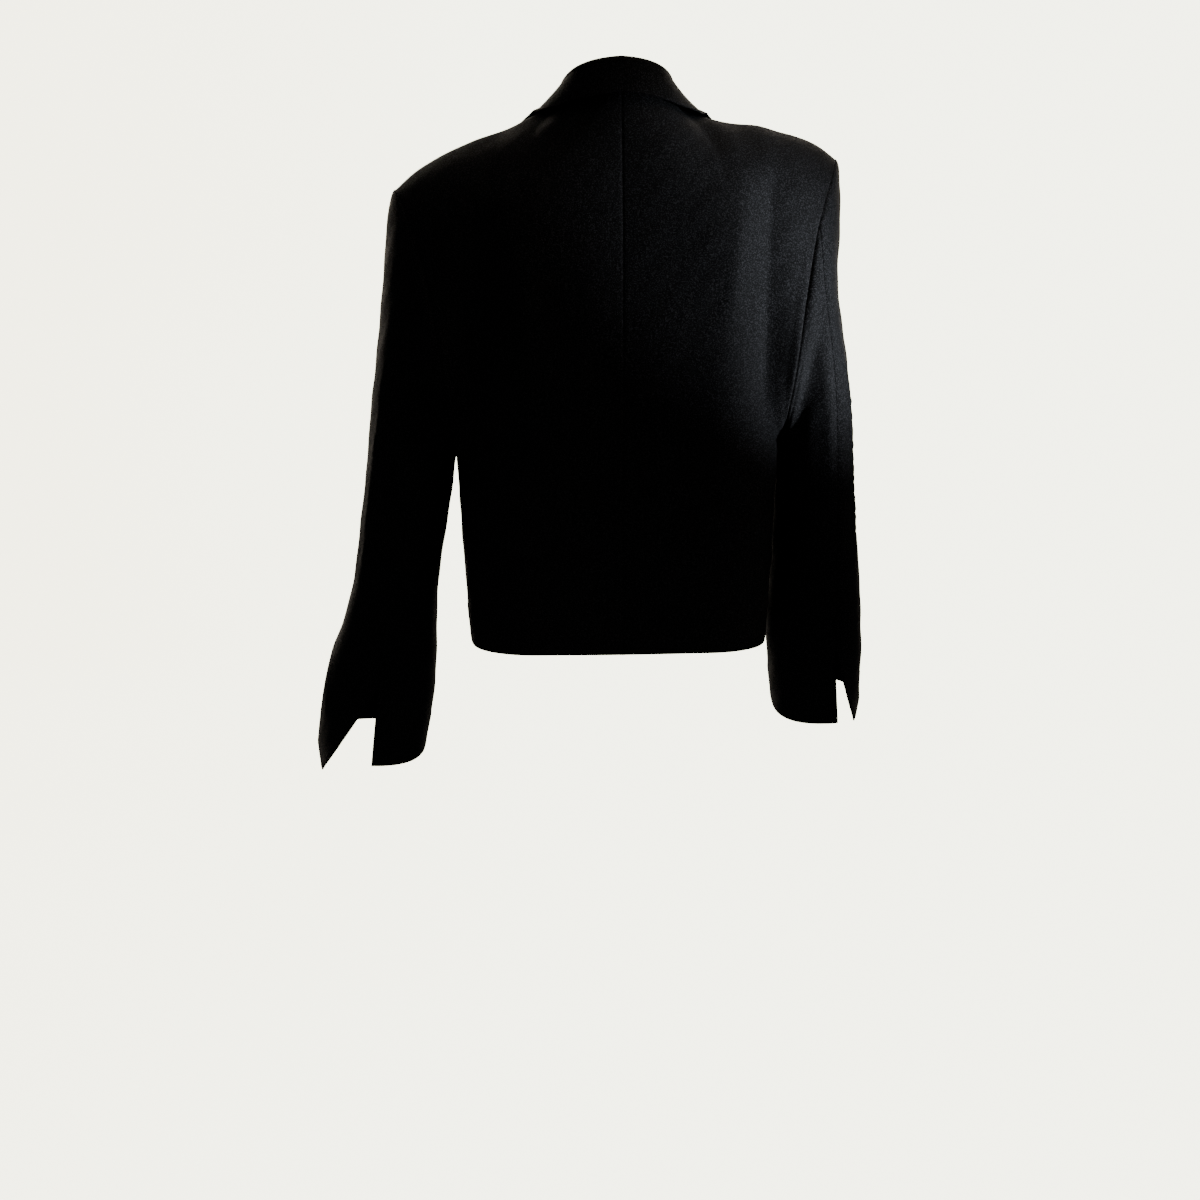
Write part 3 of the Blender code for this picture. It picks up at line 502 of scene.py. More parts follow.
def sleeve_row(run, places, side):
    """Points round the whole sleeve at a run from 0, armhole, to 1, cuff."""
    bicep = SLEEVE_RINGS[0]
    if run >= bicep.run:
        return sleeve_ring(run, places, side)
    t = run / bicep.run
    start = armhole(places)
    end = sleeve_ring(bicep.run, places, side)
    down = sleeve_ring(bicep.run + HEAD_STEP, places, side) - end
    reach = np.linalg.norm(end - start, axis=1, keepdims=True)
    share = np.minimum(1, reach / HEAD_SPAN)
    radial = unit((start - HOLE_CENTRE) * np.array([0, 1, 1]))
    leave = share * (HEAD_REACH * np.array([1.0, 0, 0]) + HEAD_PUFF * radial)
    row = between(t, start, leave, end, unit(down) * reach)
    outer = np.maximum(0, -np.cos(math.pi * places)) * ease(t, 0.0, PRESS_START)
    row[:, 0] -= side.press * outer * hump(row[:, 2] - PRESS_HEIGHT, PRESS_REACH)
    return row


def sleeve_runs(count):
    """Runs from the armhole to the cuff, crowded where the head turns over."""
    return np.linspace(0, 1, count + 1) ** HEAD_CROWD


def hindarm(run):
    """Where the hindarm seam lies round the sleeve at a run."""
    return HINDARM_AT_HEAD + (HINDARM_AT_CUFF - HINDARM_AT_HEAD) * ease(run, 0.0, HINDARM_RUN)


def opened_vent(row, shares, run, side, low, high):
    """A row of the top sleeve by the vent, whose flap swings out and straightens."""
    opened = ((run - VENT_START) / (1 - VENT_START)) ** VENT_POWER
    outermost = (1 - side.twist / 180 * run**2 - low) / (high - low)
    tip = row[0] + np.array([side.flare_x, side.flare_y, side.flare_z])
    far = read_line(outermost, shares, row)
    along = np.clip(shares / outermost, 0, 1)[:, None]
    straight = tip + (far - tip) * along
    near = (shares <= outermost)[:, None]
    return row + opened * near * (straight - row)


def sleeve_grid(side, upper, detail):
    """Outer points of the top sleeve or the under sleeve, from the cuff up to the armhole."""
    rows = []
    for run in sleeve_runs(SLEEVE_RUNS * detail)[::-1]:
        low = FOREARM_SEAM
        high = hindarm(run)
        runs = UNDER_SLEEVE_RUNS
        if upper:
            low = high
            high = 2 + FOREARM_SEAM
            runs = TOP_SLEEVE_RUNS
        shares = np.linspace(0, 1, runs * detail + 1)
        row = sleeve_row(run, low + (high - low) * shares, side)
        if upper and run > VENT_START:
            row = opened_vent(row, shares, run, side, low, high)
        rows.append(pose(row, side, arm=ease(run, 0.0, SLEEVE_RINGS[0].run)))
    return np.array(rows)


def shared_normals(pieces):
    """Normals of several grids; where two share a point, as at a seam, they share the normal."""
    normals = [outward_of(grid, away) for grid, away in pieces]
    shared = [normal.copy() for normal in normals]
    for (n, i, j), near in meeting([grid for grid, _ in pieces]):
        shared[n][i, j] = unit(sum(normals[m][p, q] for m, p, q in near))
    return shared


def rim_of(rows, columns):
    """The grid places round the edge of a grid, in order."""
    rim = [(0, j) for j in range(columns)]
    rim += [(i, columns - 1) for i in range(1, rows)]
    rim += [(rows - 1, j) for j in range(columns - 2, -1, -1)]
    rim += [(i, 0) for i in range(rows - 2, 0, -1)]
    return rim


def lapel_rows(side, shares_across, shares_up):
    """Points of the lapel on the front panel, with the panel's normals."""
    across, up = np.meshgrid(shares_across, shares_up)
    inner = BREAK_CLIMB + up * (1 - BREAK_CLIMB)
    outer = BREAK_CLIMB + up * (NOTCH_CLIMB - BREAK_CLIMB)
    climbs = inner + (outer - inner) * across
    width = LAPEL_WIDTH * up**LAPEL_CURVE
    row_length = ROW_LENGTH_BREAK + (ROW_LENGTH_NOTCH - ROW_LENGTH_BREAK) * up
    return front_points(side, climbs, width * across / row_length)


def lapel_heights(side, across, up):
    """How far the lapel's face stands over the front panel: most by the roll line."""
    lift = CLOTH + LAPEL_CLEARANCE
    roll = (2 * FOLD_RADIUS - CLOTH - lift) * np.exp(-LAPEL_SETTLE * across)
    free = ease(up, *(LAPEL_FREE_OVER if side.wrap else LAPEL_FREE))[:, None]
    pressed = CLOTH + 2 * SEAM_GAP
    return pressed + free * (lift - pressed + roll[None, :])


def rolled(side, shares, lifts, turn_runs):
    """Rows that roll round the front's edge and then lie on the front panel, and their normals."""
    flat, normal = lapel_rows(side, shares, lifts)
    height = lapel_heights(side, shares, lifts)
    face = flat + height[..., None] * normal
    edge_dir = unit(flat[:, 0] - flat[:, 1])
    radius = (height[:, 0] + CLOTH)[:, None] / 2
    beside = SEAM_GAP + GORGE_EASE * ease(lifts, *GORGE_EASE_UP)[:, None]
    centre = face[:, 0] - radius * normal[:, 0] + beside * edge_dir
    turns = []
    outward = []
    for k in range(turn_runs):
        angle = math.pi * k / turn_runs
        away = unit(math.sin(angle) * edge_dir - math.cos(angle) * normal[:, 0])
        turns.append(centre + radius * away)
        outward.append(away)
    grid = np.concatenate([np.stack(turns, axis=1), face], axis=1)
    return grid, np.concatenate([np.stack(outward, axis=1), normal], axis=1)


def neckline(detail):
    """Points along the left half of the neckline, from the back to the gorge."""
    line = []
    for rows, runs, total in (
        (BACK_ROWS, NECK_RUNS_BACK, BACK_RUNS),
        (FRONT_ROWS, NECK_RUNS_FRONT, FRONT_RUNS),
    ):
        places, top = shoulder_row(rows, runs / total)
        at = np.linspace(0, runs / total, runs * detail + 1)
        line.append(read_line(at, places, top))
    return np.concatenate([line[0], line[1][-2::-1]])


def body_tree(grids):
    """A search tree over the body panels, for what must stay clear of them."""
    points = []
    faces = []
    for grid in grids:
        start = len(points)
        rows, columns = grid.shape[:2]
        points += [Vector(p) for p in grid.reshape(-1, 3)]
        for i in range(rows - 1):
            for j in range(columns - 1):
                a = start + i * columns + j
                faces.append((a, a + 1, a + columns + 1, a + columns))
    return BVHTree.FromPolygons(points, faces)


def lifted(point, tree, clear, middle):
    """The point, moved off the body where it lies closer than clear to it."""
    place, normal, _, distance = tree.find_nearest(Vector(point))
    if normal.dot(place - middle) < 0:
        normal = -normal
    height = (Vector(point) - place).dot(normal)
    beside = math.sqrt(max(0, distance**2 - height**2))
    if height < clear and distance < CLEAR_REACH and beside < CLEAR_BESIDE:
        return np.array(place + normal * clear)
    return point


def gorge_sections(turn_runs, leaf_runs):
    """Each side's end of the collar, which goes on from the top edge of its lapel."""
    sections = {}
    shares = np.linspace(0, GORGE_SHARE, leaf_runs + 1)
    for side in SIDES:
        grid, normal = rolled(side, shares, np.array([0.98, 1.0]), turn_runs)
        end = grid[1] + GORGE_GAP * unit(grid[1] - grid[0])
        sections[side.name] = (end, mirrored(normal[1], side))
    return sections


def collar_grid(grids, detail):
    """The collar's outer points and normals: its stand, its fold and its leaf."""
    tree = body_tree(grids)
    middle = Vector(BODY_MIDDLE)
    line = neckline(detail)
    runs = unit(np.gradient(line, axis=0) * np.array([1, 1, NECK_RISE]))
    runs[0] = (1, 0, 0)
    lengths = np.linalg.norm(np.diff(line, axis=0), axis=1)
    alongs = np.concatenate([[0], np.cumsum(lengths)]) / lengths.sum()
    half = len(line) - 1
    stand_runs = COLLAR_STAND_RUNS * detail
    fold_runs = COLLAR_FOLD_RUNS * detail
    leaf_runs = COLLAR_LEAF_RUNS * detail
    turn_runs = stand_runs + fold_runs
    sections = gorge_sections(turn_runs, leaf_runs)
    rows = []
    ends = []
    up = np.array([0, 0, 1.0])
    table = [(c.stand, c.lean, c.leaf, c.slope) for c in COLLAR_SECTIONS]
    knots = [c.along for c in COLLAR_SECTIONS]
    for k in range(-half, half + 1):
        side = SIDES[0] if k >= 0 else SIDES[1]
        along = alongs[abs(k)]
        stand, lean, leaf, slope = through(knots, table, along)[0]
        leaf -= side.tuck * hump(along - TUCK_ALONG, TUCK_REACH)
        base = line[abs(k)]
        out = unit(np.cross(up, runs[abs(k)]))
        if np.dot(out, base * np.array([1, 1, 0])) < 0:
            out = -out
        foot = base + up * (SEAM_GAP + CLOTH * FOOT_UP) - out * CLOTH * FOOT_IN
        head = foot + out * lean + up * stand
        section = [foot + (head - foot) * j / stand_runs for j in range(stand_runs)]
        centre = head + out * FOLD_RADIUS
        for j in range(fold_runs):
            angle = math.pi * j / fold_runs
            section.append(centre - out * FOLD_RADIUS * math.cos(angle)
                           + up * FOLD_RADIUS * math.sin(angle))
        start = head + out * FOLD_RADIUS * 2
        fall = math.radians(slope)
        tip = base + out * (leaf * math.cos(fall) + TIP_OUT) - up * (leaf - stand) * math.sin(fall)
        section += [start + (tip - start) * j / leaf_runs for j in range(leaf_runs + 1)]
        sewn = ease(along, *COLLAR_TO_GORGE)
        gorge, gorge_normal = sections[side.name]
        section = np.array(section)
        section = pose(section + sewn * (gorge - section), side)
        clear = CLOTH + LEAF_CLEARANCE + sewn * (LAPEL_CLEARANCE - LEAF_CLEARANCE)
        rows.append(
            [
                lifted(p, tree, clear, middle) if n >= turn_runs else p
                for n, p in enumerate(section)
            ]
        )
        ends.append(sewn * gorge_normal)
    grid = np.array(rows)
    ends = np.array(ends)
    share = np.linalg.norm(ends, axis=-1, keepdims=True)
    normal = unit(outward_of(grid, up) * (1 - share) + ends)
    return grid, normal


# The shells

# Creases of the body: points of each crease's line (x, z), how high it stands, how far it
# reaches towards the middle and towards the side, and whether it is sharp
Crease = namedtuple("Crease", "name sign line height inner outer sharp")
BACK_CREASES = (
    Crease("right blade valley", -1,
           ((0.158, -0.070), (0.155, -0.110), (0.1515, -0.213), (0.152, -0.290), (0.152, -0.345)),
           -0.0092, 0.028, 0.024, True),
    Crease("right inner fold", -1, ((0.134, -0.082), (0.119, -0.160), (0.112, -0.230)),
           0.0004, 0.010, 0.010, False),
    Crease("right armpit drag", -1, ((0.176, -0.300), (0.166, -0.350), (0.150, -0.430)),
           0.0014, 0.010, 0.007, False),
    Crease("left blade valley", 1,
           ((0.151, -0.100), (0.148, -0.160), (0.144, -0.260), (0.145, -0.310), (0.145, -0.345)),
           -0.0060, 0.026, 0.024, True),
    Crease("left inner fold", 1, ((0.118, -0.110), (0.106, -0.190), (0.100, -0.260)),
           0.0004, 0.012, 0.010, False),
    Crease("left armpit drag", 1, ((0.172, -0.335), (0.160, -0.380), (0.146, -0.450)),
           0.0014, 0.010, 0.008, False),
)
FRONT_CREASES = (
    Crease("right chest fold", -1, ((0.150, -0.150), (0.143, -0.240), (0.138, -0.330)),
           0.0018, 0.020, 0.012, False),
    Crease("left chest fold", 1, ((0.148, -0.160), (0.142, -0.250), (0.136, -0.340)),
           0.0018, 0.020, 0.012, False),
    Crease("right button drag", -1, ((-0.004, -0.362), (0.050, -0.350), (0.105, -0.330)),
           0.0012, 0.012, 0.012, False),
    Crease("left button drag", 1, ((0.026, -0.362), (0.060, -0.352), (0.110, -0.336)),
           0.0012, 0.012, 0.012, False),
)
CREASE_INSET = 0.014        # creases fade out this close to a panel's edge
CREASE_FADE_LOW = (-0.10, 0.22)   # and set in between these shares of their span at its low end
CREASE_FADE_HIGH = (-0.16, 0.06)  # and end between these at its high end
SHARP_TIP = 0.12            # how round the tip of a sharp crease is
# Creases of the sleeves: from one place and run to another, as on the sleeve's own grid
Pull = namedtuple("Pull", "name sign upper place_a run_a place_b run_b height width")
SLEEVE_PULLS = (
    Pull("right hindarm fold", -1, True, 0.775, 0.20, 0.800, 0.66, 0.0026, 0.0070),
    Pull("left hindarm fold", 1, True, 0.775, 0.22, 0.800, 0.62, 0.0020, 0.0080),
    Pull("right seam fold", -1, False, 0.560, 0.10, 0.520, 0.50, 0.0020, 0.0090),
    Pull("left seam fold", 1, False, 0.560, 0.12, 0.520, 0.48, 0.0018, 0.0090),
    Pull("right elbow upper", -1, True, 1.62, 0.55, 1.25, 0.62, 0.0018, 0.0100),
    Pull("left elbow upper", 1, True, 1.62, 0.53, 1.22, 0.60, 0.0020, 0.0100),
    Pull("right elbow lower", -1, True, 1.60, 0.66, 1.28, 0.71, 0.0014, 0.0090),
    Pull("left elbow lower", 1, True, 1.62, 0.65, 1.20, 0.72, 0.0016, 0.0090),
    Pull("left cuff pull", 1, True, 1.10, 0.72, 0.86, 0.90, 0.0018, 0.0120),
    Pull("right cuff pull", -1, True, 1.08, 0.74, 0.86, 0.92, 0.0012, 0.0120),
)
PULL_INSET = 0.012          # these fade out this close to an edge
PULL_FADE = 0.3             # and over this share of their length at both ends
PULL_POINTS = 24
# Slow waves of steamed cloth: strength, and how fast each runs along X, Y, Z and with the seed
Wave = namedtuple("Wave", "strength x y z seed")
WAVES = (
    Wave(1.0, 61, 0, 37, 1.0),
    Wave(1.0, 0, 97, -53, 2.3),
    Wave(0.7, 89, 0, 151, -1.7),
    Wave(0.5, 211, -173, 131, 1.0),
)
WAVE_INSET = 0.03           # they fade out this close to an edge
WAVE_SEED = 1.7             # the seed's step from piece to piece
WAVE_HEIGHT = 0.0003
WAVE_HEIGHT_FRONT = 0.00012


class JacketCloth(bpy.types.PropertyGroup):
    """The cloth's sizes and finish."""

    thickness: FloatProperty(
        name="Thickness", description="Wall of the cloth shells", default=0.0018, unit="LENGTH")
    detail: IntProperty(
        name="Detail", description="Runs of a shell for each run of its solid", default=6, min=1)
    seam_dip: FloatProperty(
        name="Seam dip", description="How far the cloth sinks into a sewn seam",
        default=0.0007, unit="LENGTH")
    seam_reach: FloatProperty(
        name="Seam reach", description="How far from the seam the dip starts",
        default=0.0045, unit="LENGTH")
    hem_depth: FloatProperty(
        name="Hem depth", description="Height of the turned hem, whose edge shows through",
        default=0.038, unit="LENGTH")
    shade: FloatVectorProperty(
        name="Shade", description="The black of the yarn", subtype="COLOR",
        default=(0.0014, 0.0014, 0.0018))
    # Painted highlight: the lighter colour of the crepe's raised pebble tips stands in for light
    # catching them
    tip_highlight: FloatVectorProperty(
        name="Bloom", description="The tips of the pebbled yarn", subtype="COLOR",
        default=(0.060, 0.061, 0.066))
    pebble: FloatProperty(
        name="Pebble", description="Size of the crepe's pebbles", default=0.0011, unit="LENGTH")
    roughness: FloatProperty(
        name="Roughness", description="How matt the crepe is", default=0.82, subtype="FACTOR")


class JacketButtons(bpy.types.PropertyGroup):
    """The buttons' sizes and finish."""

    radius: FloatProperty(
        name="Radius", description="Radius of a button", default=0.0125, unit="LENGTH")
    thickness: FloatProperty(
        name="Thickness", description="Thickness at the rim", default=0.0040, unit="LENGTH")
    hole: FloatProperty(
        name="Hole", description="Radius of a thread hole", default=0.0011, unit="LENGTH")
    shade: FloatVectorProperty(
        name="Shade", description="Colour of the horn", subtype="COLOR",
        default=(0.012, 0.011, 0.010))


class JacketStudio(bpy.types.PropertyGroup):
    """The pale room, its light and the camera."""

    paper: FloatVectorProperty(
        name="Paper", description="Colour of the floor and the wall", subtype="COLOR",
        default=(0.90, 0.905, 0.72))
    warmth: FloatVectorProperty(
        name="Warmth", description="Warm tint at one side of the wall", subtype="COLOR",
        default=(0.84, 0.76, 0.56))
    glow: FloatProperty(
        name="Glow", description="How evenly bright the paper stands behind the jacket",
        default=6.0)
    beam: FloatProperty(
        name="Beam", description="Power of the beams on the right shoulder, in watts",
        default=480.0)
    front: FloatProperty(
        name="Front", description="Power of the softboxes round the jacket, in watts",
        default=15.0)
    fill: FloatProperty(
        name="Fill", description="Strength of the room's even light", default=0.03)


# Shader sockets as numbers


class Sock:
    """A shader socket that can be used in sums."""

    def __init__(self, tree, link=None):
        self.tree = tree
        self.link = link

    def node(self, kind, settings=None, out=0, **inputs):
        """Adds a node, with its settings and its sockets' values; i0 is the first socket."""
        made = self.tree.nodes.new(kind)
        for key, value in (settings or {}).items():
            setattr(made, key, value)
        for key, value in inputs.items():
            socket = made.inputs[int(key[1:]) if key[1:].isdigit() else key]
            if isinstance(value, Sock):
                self.tree.links.new(value.link, socket)
            else:
                socket.default_value = value
        return Sock(self.tree, made.outputs[out])

    def _math(self, operation, first, second):
        return self.node("ShaderNodeMath", {"operation": operation}, i0=first, i1=second)

    def __add__(self, other):
        return self._math("ADD", self, other)

    def __radd__(self, other):
        return self._math("ADD", other, self)

    def __sub__(self, other):
        return self._math("SUBTRACT", self, other)

    def __rsub__(self, other):
        return self._math("SUBTRACT", other, self)

    def __mul__(self, other):
        return self._math("MULTIPLY", self, other)

    def __rmul__(self, other):
        return self._math("MULTIPLY", other, self)

    def clamp(self, low=0.0, high=1.0):
        """The value kept between two limits."""
        return self.node("ShaderNodeClamp", Value=self, Min=low, Max=high)

    def mix(self, dark, light):
        """A colour between two, with this socket as the factor."""
        settings = {"data_type": "RGBA"}
        return self.node("ShaderNodeMix", settings, out=2, i0=self, i6=dark, i7=light)


def new_material(name):
    """A material with its shader, and the object's own coordinates to build from."""
    material = bpy.data.materials.new(name)
    material.use_nodes = True
    tree = material.node_tree
    shader = tree.nodes["Principled BSDF"]
    return material, shader, Sock(tree).node("ShaderNodeTexCoord", out="Object")


def feed(shader, name, sock):
    """Links a socket to one of the shader's inputs."""
    sock.tree.links.new(sock.link, shader.inputs[name])


def crepe_material(cloth):
    """Matt black crepe: twisted yarns that pucker into small pebbles, whose raised tips carry a
    painted highlight.
    """
    material, shader, place = new_material("black crepe shell")
    size = cloth.pebble
    pebbles = place.node("ShaderNodeTexNoise", Vector=place, Scale=0.9 / size, Detail=3.0,
                         Roughness=0.62)
    yarns = place.node("ShaderNodeTexVoronoi", {"feature": "SMOOTH_F1"}, Vector=place,
                       Scale=1.7 / size, Smoothness=0.6)
    broad = place.node("ShaderNodeTexNoise", Vector=place, Scale=9.0, Detail=2.0)
    tips = ((pebbles - 0.50) * 9.0).clamp() * (1.25 - yarns).clamp()
    # The raised pebble tips are painted lighter in the base colour: a painted highlight
    tip_highlight = (tips * (0.65 + 0.7 * broad)).clamp()
    feed(shader, "Base Color", tip_highlight.mix((*cloth.shade, 1), (*cloth.tip_highlight, 1)))
    feed(shader, "Roughness", (cloth.roughness + 0.1 * (broad - 0.5)).clamp(0.5, 1.0))
    height = pebbles * 0.7 + (1 - yarns) * 0.5
    bump = height.node("ShaderNodeBump", Strength=0.7, Distance=0.0008, Height=height)
    feed(shader, "Normal", bump)
    shader.inputs["Specular IOR Level"].default_value = 0.25
    return material


def horn_material(buttons):
    """Polished black horn with faint smoky streaks."""
    material, shader, place = new_material("black horn polished")
    stretched = place.node("ShaderNodeMapping", Vector=place, Scale=(300.0, 60.0, 120.0))
    streaks = place.node("ShaderNodeTexNoise", Vector=stretched, Scale=1.0, Detail=4.0)
    mask = ((streaks - 0.5) * 3.0).clamp()
    light = tuple(2.6 * c for c in buttons.shade)
    feed(shader, "Base Color", mask.mix((*buttons.shade, 1), (*light, 1)))
    feed(shader, "Roughness", 0.28 + 0.16 * mask)
    shader.inputs["Coat Weight"].default_value = 0.25
    shader.inputs["Coat Roughness"].default_value = 0.12
    return material


def thread_material(cloth):
    """Black buttonhole twist, whose raised bands carry a painted highlight."""
    material, shader, place = new_material("black twist")
    twist = place.node("ShaderNodeTexWave", {"wave_type": "BANDS", "bands_direction": "DIAGONAL"},
                       Vector=place, Scale=900.0, Distortion=1.0)
    # The twist's raised bands are painted lighter than the black thread: a painted highlight
    light = tuple(1.6 * c for c in cloth.tip_highlight)
    feed(shader, "Base Color", twist.mix((*cloth.shade, 1), (*light, 1)))
    bump = twist.node("ShaderNodeBump", Strength=0.6, Distance=0.0003, Height=twist)
    feed(shader, "Normal", bump)
    shader.inputs["Roughness"].default_value = 0.6
    return material


# Mesh helpers

SEWN_ROUND = 0.15           # how round a sewn edge is beside a free one
RIM_STEPS = 4               # steps of the half circle round a shell's rim
# How strongly each panel's edges are sewn: the first, the last, the bottom and the top one
BACK_EDGES = (0.02, 0.5, False, True)
FRONT_EDGES = (False, 0.5, False, True)
SLEEVE_EDGES = (True, True, False, 0.5)
FREE_EDGES = (False, False, False, False)
HEM_MARK = 0.00035          # how far the turned hem's edge shows through
HEM_MARK_WIDTH = 0.004
HEM_ROUND = 0.0006          # how far the cloth sinks at the hem's fold
HEM_ROUND_REACH = 0.003
# How far the cloth stands up from the solids' shoulders: side, place, reach and height
CREST_LIFTS = ((1, 0.165, 0.075, 0.0036), (-1, 0.128, 0.034, 0.0042))
CREST_UP = (-0.14, -0.05)   # this sets in between these heights
COLLAR_LIFT = 0.0032        # how far the collar's fold stands up at the middle of the back
COLLAR_LIFT_REACH = 0.055
COLLAR_LIFT_UP = (0.005, 0.045)
FILL_DEPTH = 0.0140         # how far the cloth bridges the hollow behind the armhole
FILL_LOWER = 0.0070         # how much further it does so beside the armpit
FILL_REACH = 0.038          # how far from the armhole it does so on the sleeve
FILL_REACH_BACK = 0.7 * FILL_REACH
FILL_LOW_UP = (-0.34, -0.14)  # beside the armpit is below these heights
FILL_FROM = (-0.41, -0.33)  # it sets in between these heights
FILL_TO = (-0.28, -0.13)    # and ends between these
FILL_BEHIND = (0.015, 0.045)  # and it sets in between these distances behind the middle
SEAM_LIFT = 0.0040          # how far the seam itself is lifted there
SEAM_LIFT_REACH = 0.006     # and how far from the seam
# The crest beside the neck is smoothed: climbs where that sets in and ends, place and width
NECK_EASE_FROM = (0.80, 0.90)
NECK_EASE_TO = (0.985, 1.0)
NECK_EASE_AT = 0.066
NECK_EASE_WIDTH = 0.022
NECK_EASE_ROUNDS = 30
LAPEL_START = 0.04          # share of the roll line where the lapel's cloth starts
COLLAR_BODY_DETAIL = 4      # detail of the body that the collar stays clear of


def relaxed(grid, share, rounds):
    """Smooths a grid inside its edges, by a share for each point."""
    grid = grid.copy()
    weight = 0.5 * share[1:-1, 1:-1, None]
    for _ in range(rounds):
        mean = (grid[:-2, 1:-1] + grid[2:, 1:-1] + grid[1:-1, :-2] + grid[1:-1, 2:]) / 4
        grid[1:-1, 1:-1] += weight * (mean - grid[1:-1, 1:-1])
    return grid


def meeting(grids):
    """Groups of rim points of several grids that lie on one seam point."""
    places = [(n, i, j) for n, grid in enumerate(grids) for i, j in rim_of(*grid.shape[:2])]
    finder = KDTree(len(places))
    for k, (n, i, j) in enumerate(places):
        finder.insert(grids[n][i, j], k)
    finder.balance()
    for n, i, j in places:
        near = [places[k] for _, k, _ in finder.find_range(grids[n][i, j], WELD)]
        if len(near) > 1:
            yield (n, i, j), near


def joined(flats, worn):
    """Brings worn grids together again wherever the flat ones meet."""
    closed = [grid.copy() for grid in worn]
    for (n, i, j), near in meeting(flats):
        closed[n][i, j] = sum(worn[m][p, q] for m, p, q in near) / len(near)
    return closed


def mesh_object(name, points, faces, material):
    """A smooth mesh object in the scene."""
    mesh = bpy.data.meshes.new(name)
    mesh.from_pydata([tuple(p) for p in points], [], faces)
    mesh.update()
    mesh.shade_smooth()
    mesh.materials.append(material)
    piece = bpy.data.objects.new(name, mesh)
    bpy.context.scene.collection.objects.link(piece)
    return piece


def steps_of(grid):
    """The lengths of a grid's steps across and up."""
    return (np.linalg.norm(np.diff(grid, axis=1), axis=2),
            np.linalg.norm(np.diff(grid, axis=0), axis=2))


def edge_distance(grid):
    """How far each point lies from the grid's four edges, along the cloth."""
    across, up = steps_of(grid)
    from_first = np.concatenate([np.zeros((len(grid), 1)), np.cumsum(across, axis=1)], axis=1)
    from_bottom = np.concatenate([np.zeros((1, grid.shape[1])), np.cumsum(up, axis=0)], axis=0)
    return from_first, from_first[:, -1:] - from_first, from_bottom, from_bottom[-1:] - from_bottom


def inset(grid, reach):
    """0 at a grid's edges and 1 from the reach on."""
    return ease(np.minimum.reduce(edge_distance(grid)), 0.0, reach)


def sew(grid, normal, dip, reach, hem_depth, edges):
    """Lets the cloth sink into its sewn edges; the turned hem's edge shows through faintly."""
    sink = np.zeros(grid.shape[:2])
    distances = edge_distance(grid)
    for distance, sewn in zip(distances, edges):
        sink = np.maximum(sink, sewn * dip * hump(distance, reach))
    bottom = distances[2]
    sink = sink - HEM_MARK * hump(bottom - hem_depth, HEM_MARK_WIDTH)
    sink = sink + HEM_ROUND * hump(bottom, HEM_ROUND_REACH)
    return grid - sink[..., None] * normal


def waved(grid, normal, seed, height):
    """Slow unevenness, as steamed cloth has."""
    wave = sum(
        w.strength * np.sin(grid @ np.array([w.x, w.y, w.z]) + w.seed * seed) for w in WAVES)
    return grid + (height * wave * inset(grid, WAVE_INSET))[..., None] * normal


def creased(grid, normal, creases, side):
    """Raises the creases that were listed for one side."""
    calm = inset(grid, CREASE_INSET)
    local_x = side.sign * grid[..., 0]
    for crease in creases:
        if crease.sign != side.sign:
            continue
        line = np.array(crease.line)
        steep = abs(line[-1, 1] - line[0, 1]) > abs(line[-1, 0] - line[0, 0])
        along, other = (grid[..., 2], local_x) if steep else (local_x, grid[..., 2])
        knots, values = (line[:, 1], line[:, 0]) if steep else (line[:, 0], line[:, 1])
        order = np.argsort(knots)
        knots, values = knots[order], values[order]
        middle = through(knots, values, np.clip(along, knots[0], knots[-1]).ravel())
        offset = other - middle.reshape(other.shape)
        width = np.where(offset < 0, crease.inner, crease.outer)
        span = knots[-1] - knots[0]
        fade = ease(along, *(knots[0] + share * span for share in CREASE_FADE_LOW))
        fade = fade * (1 - ease(along, *(knots[-1] + share * span for share in CREASE_FADE_HIGH)))
        profile = hump(offset, width)
        if crease.sharp:
            profile = np.exp(SHARP_TIP - np.hypot(offset / width, SHARP_TIP))
        lift = crease.height * fade * calm * profile
        grid = grid + lift[..., None] * normal
    return grid


def edge_directions(grid):
    """For each rim point, the direction along the cloth and out over its edge."""
    out = np.zeros_like(grid)
    out[:, 0] += unit(grid[:, 0] - grid[:, 1])
    out[:, -1] += unit(grid[:, -1] - grid[:, -2])
    out[0] += unit(grid[0] - grid[1])
    out[-1] += unit(grid[-1] - grid[-2])
    return out


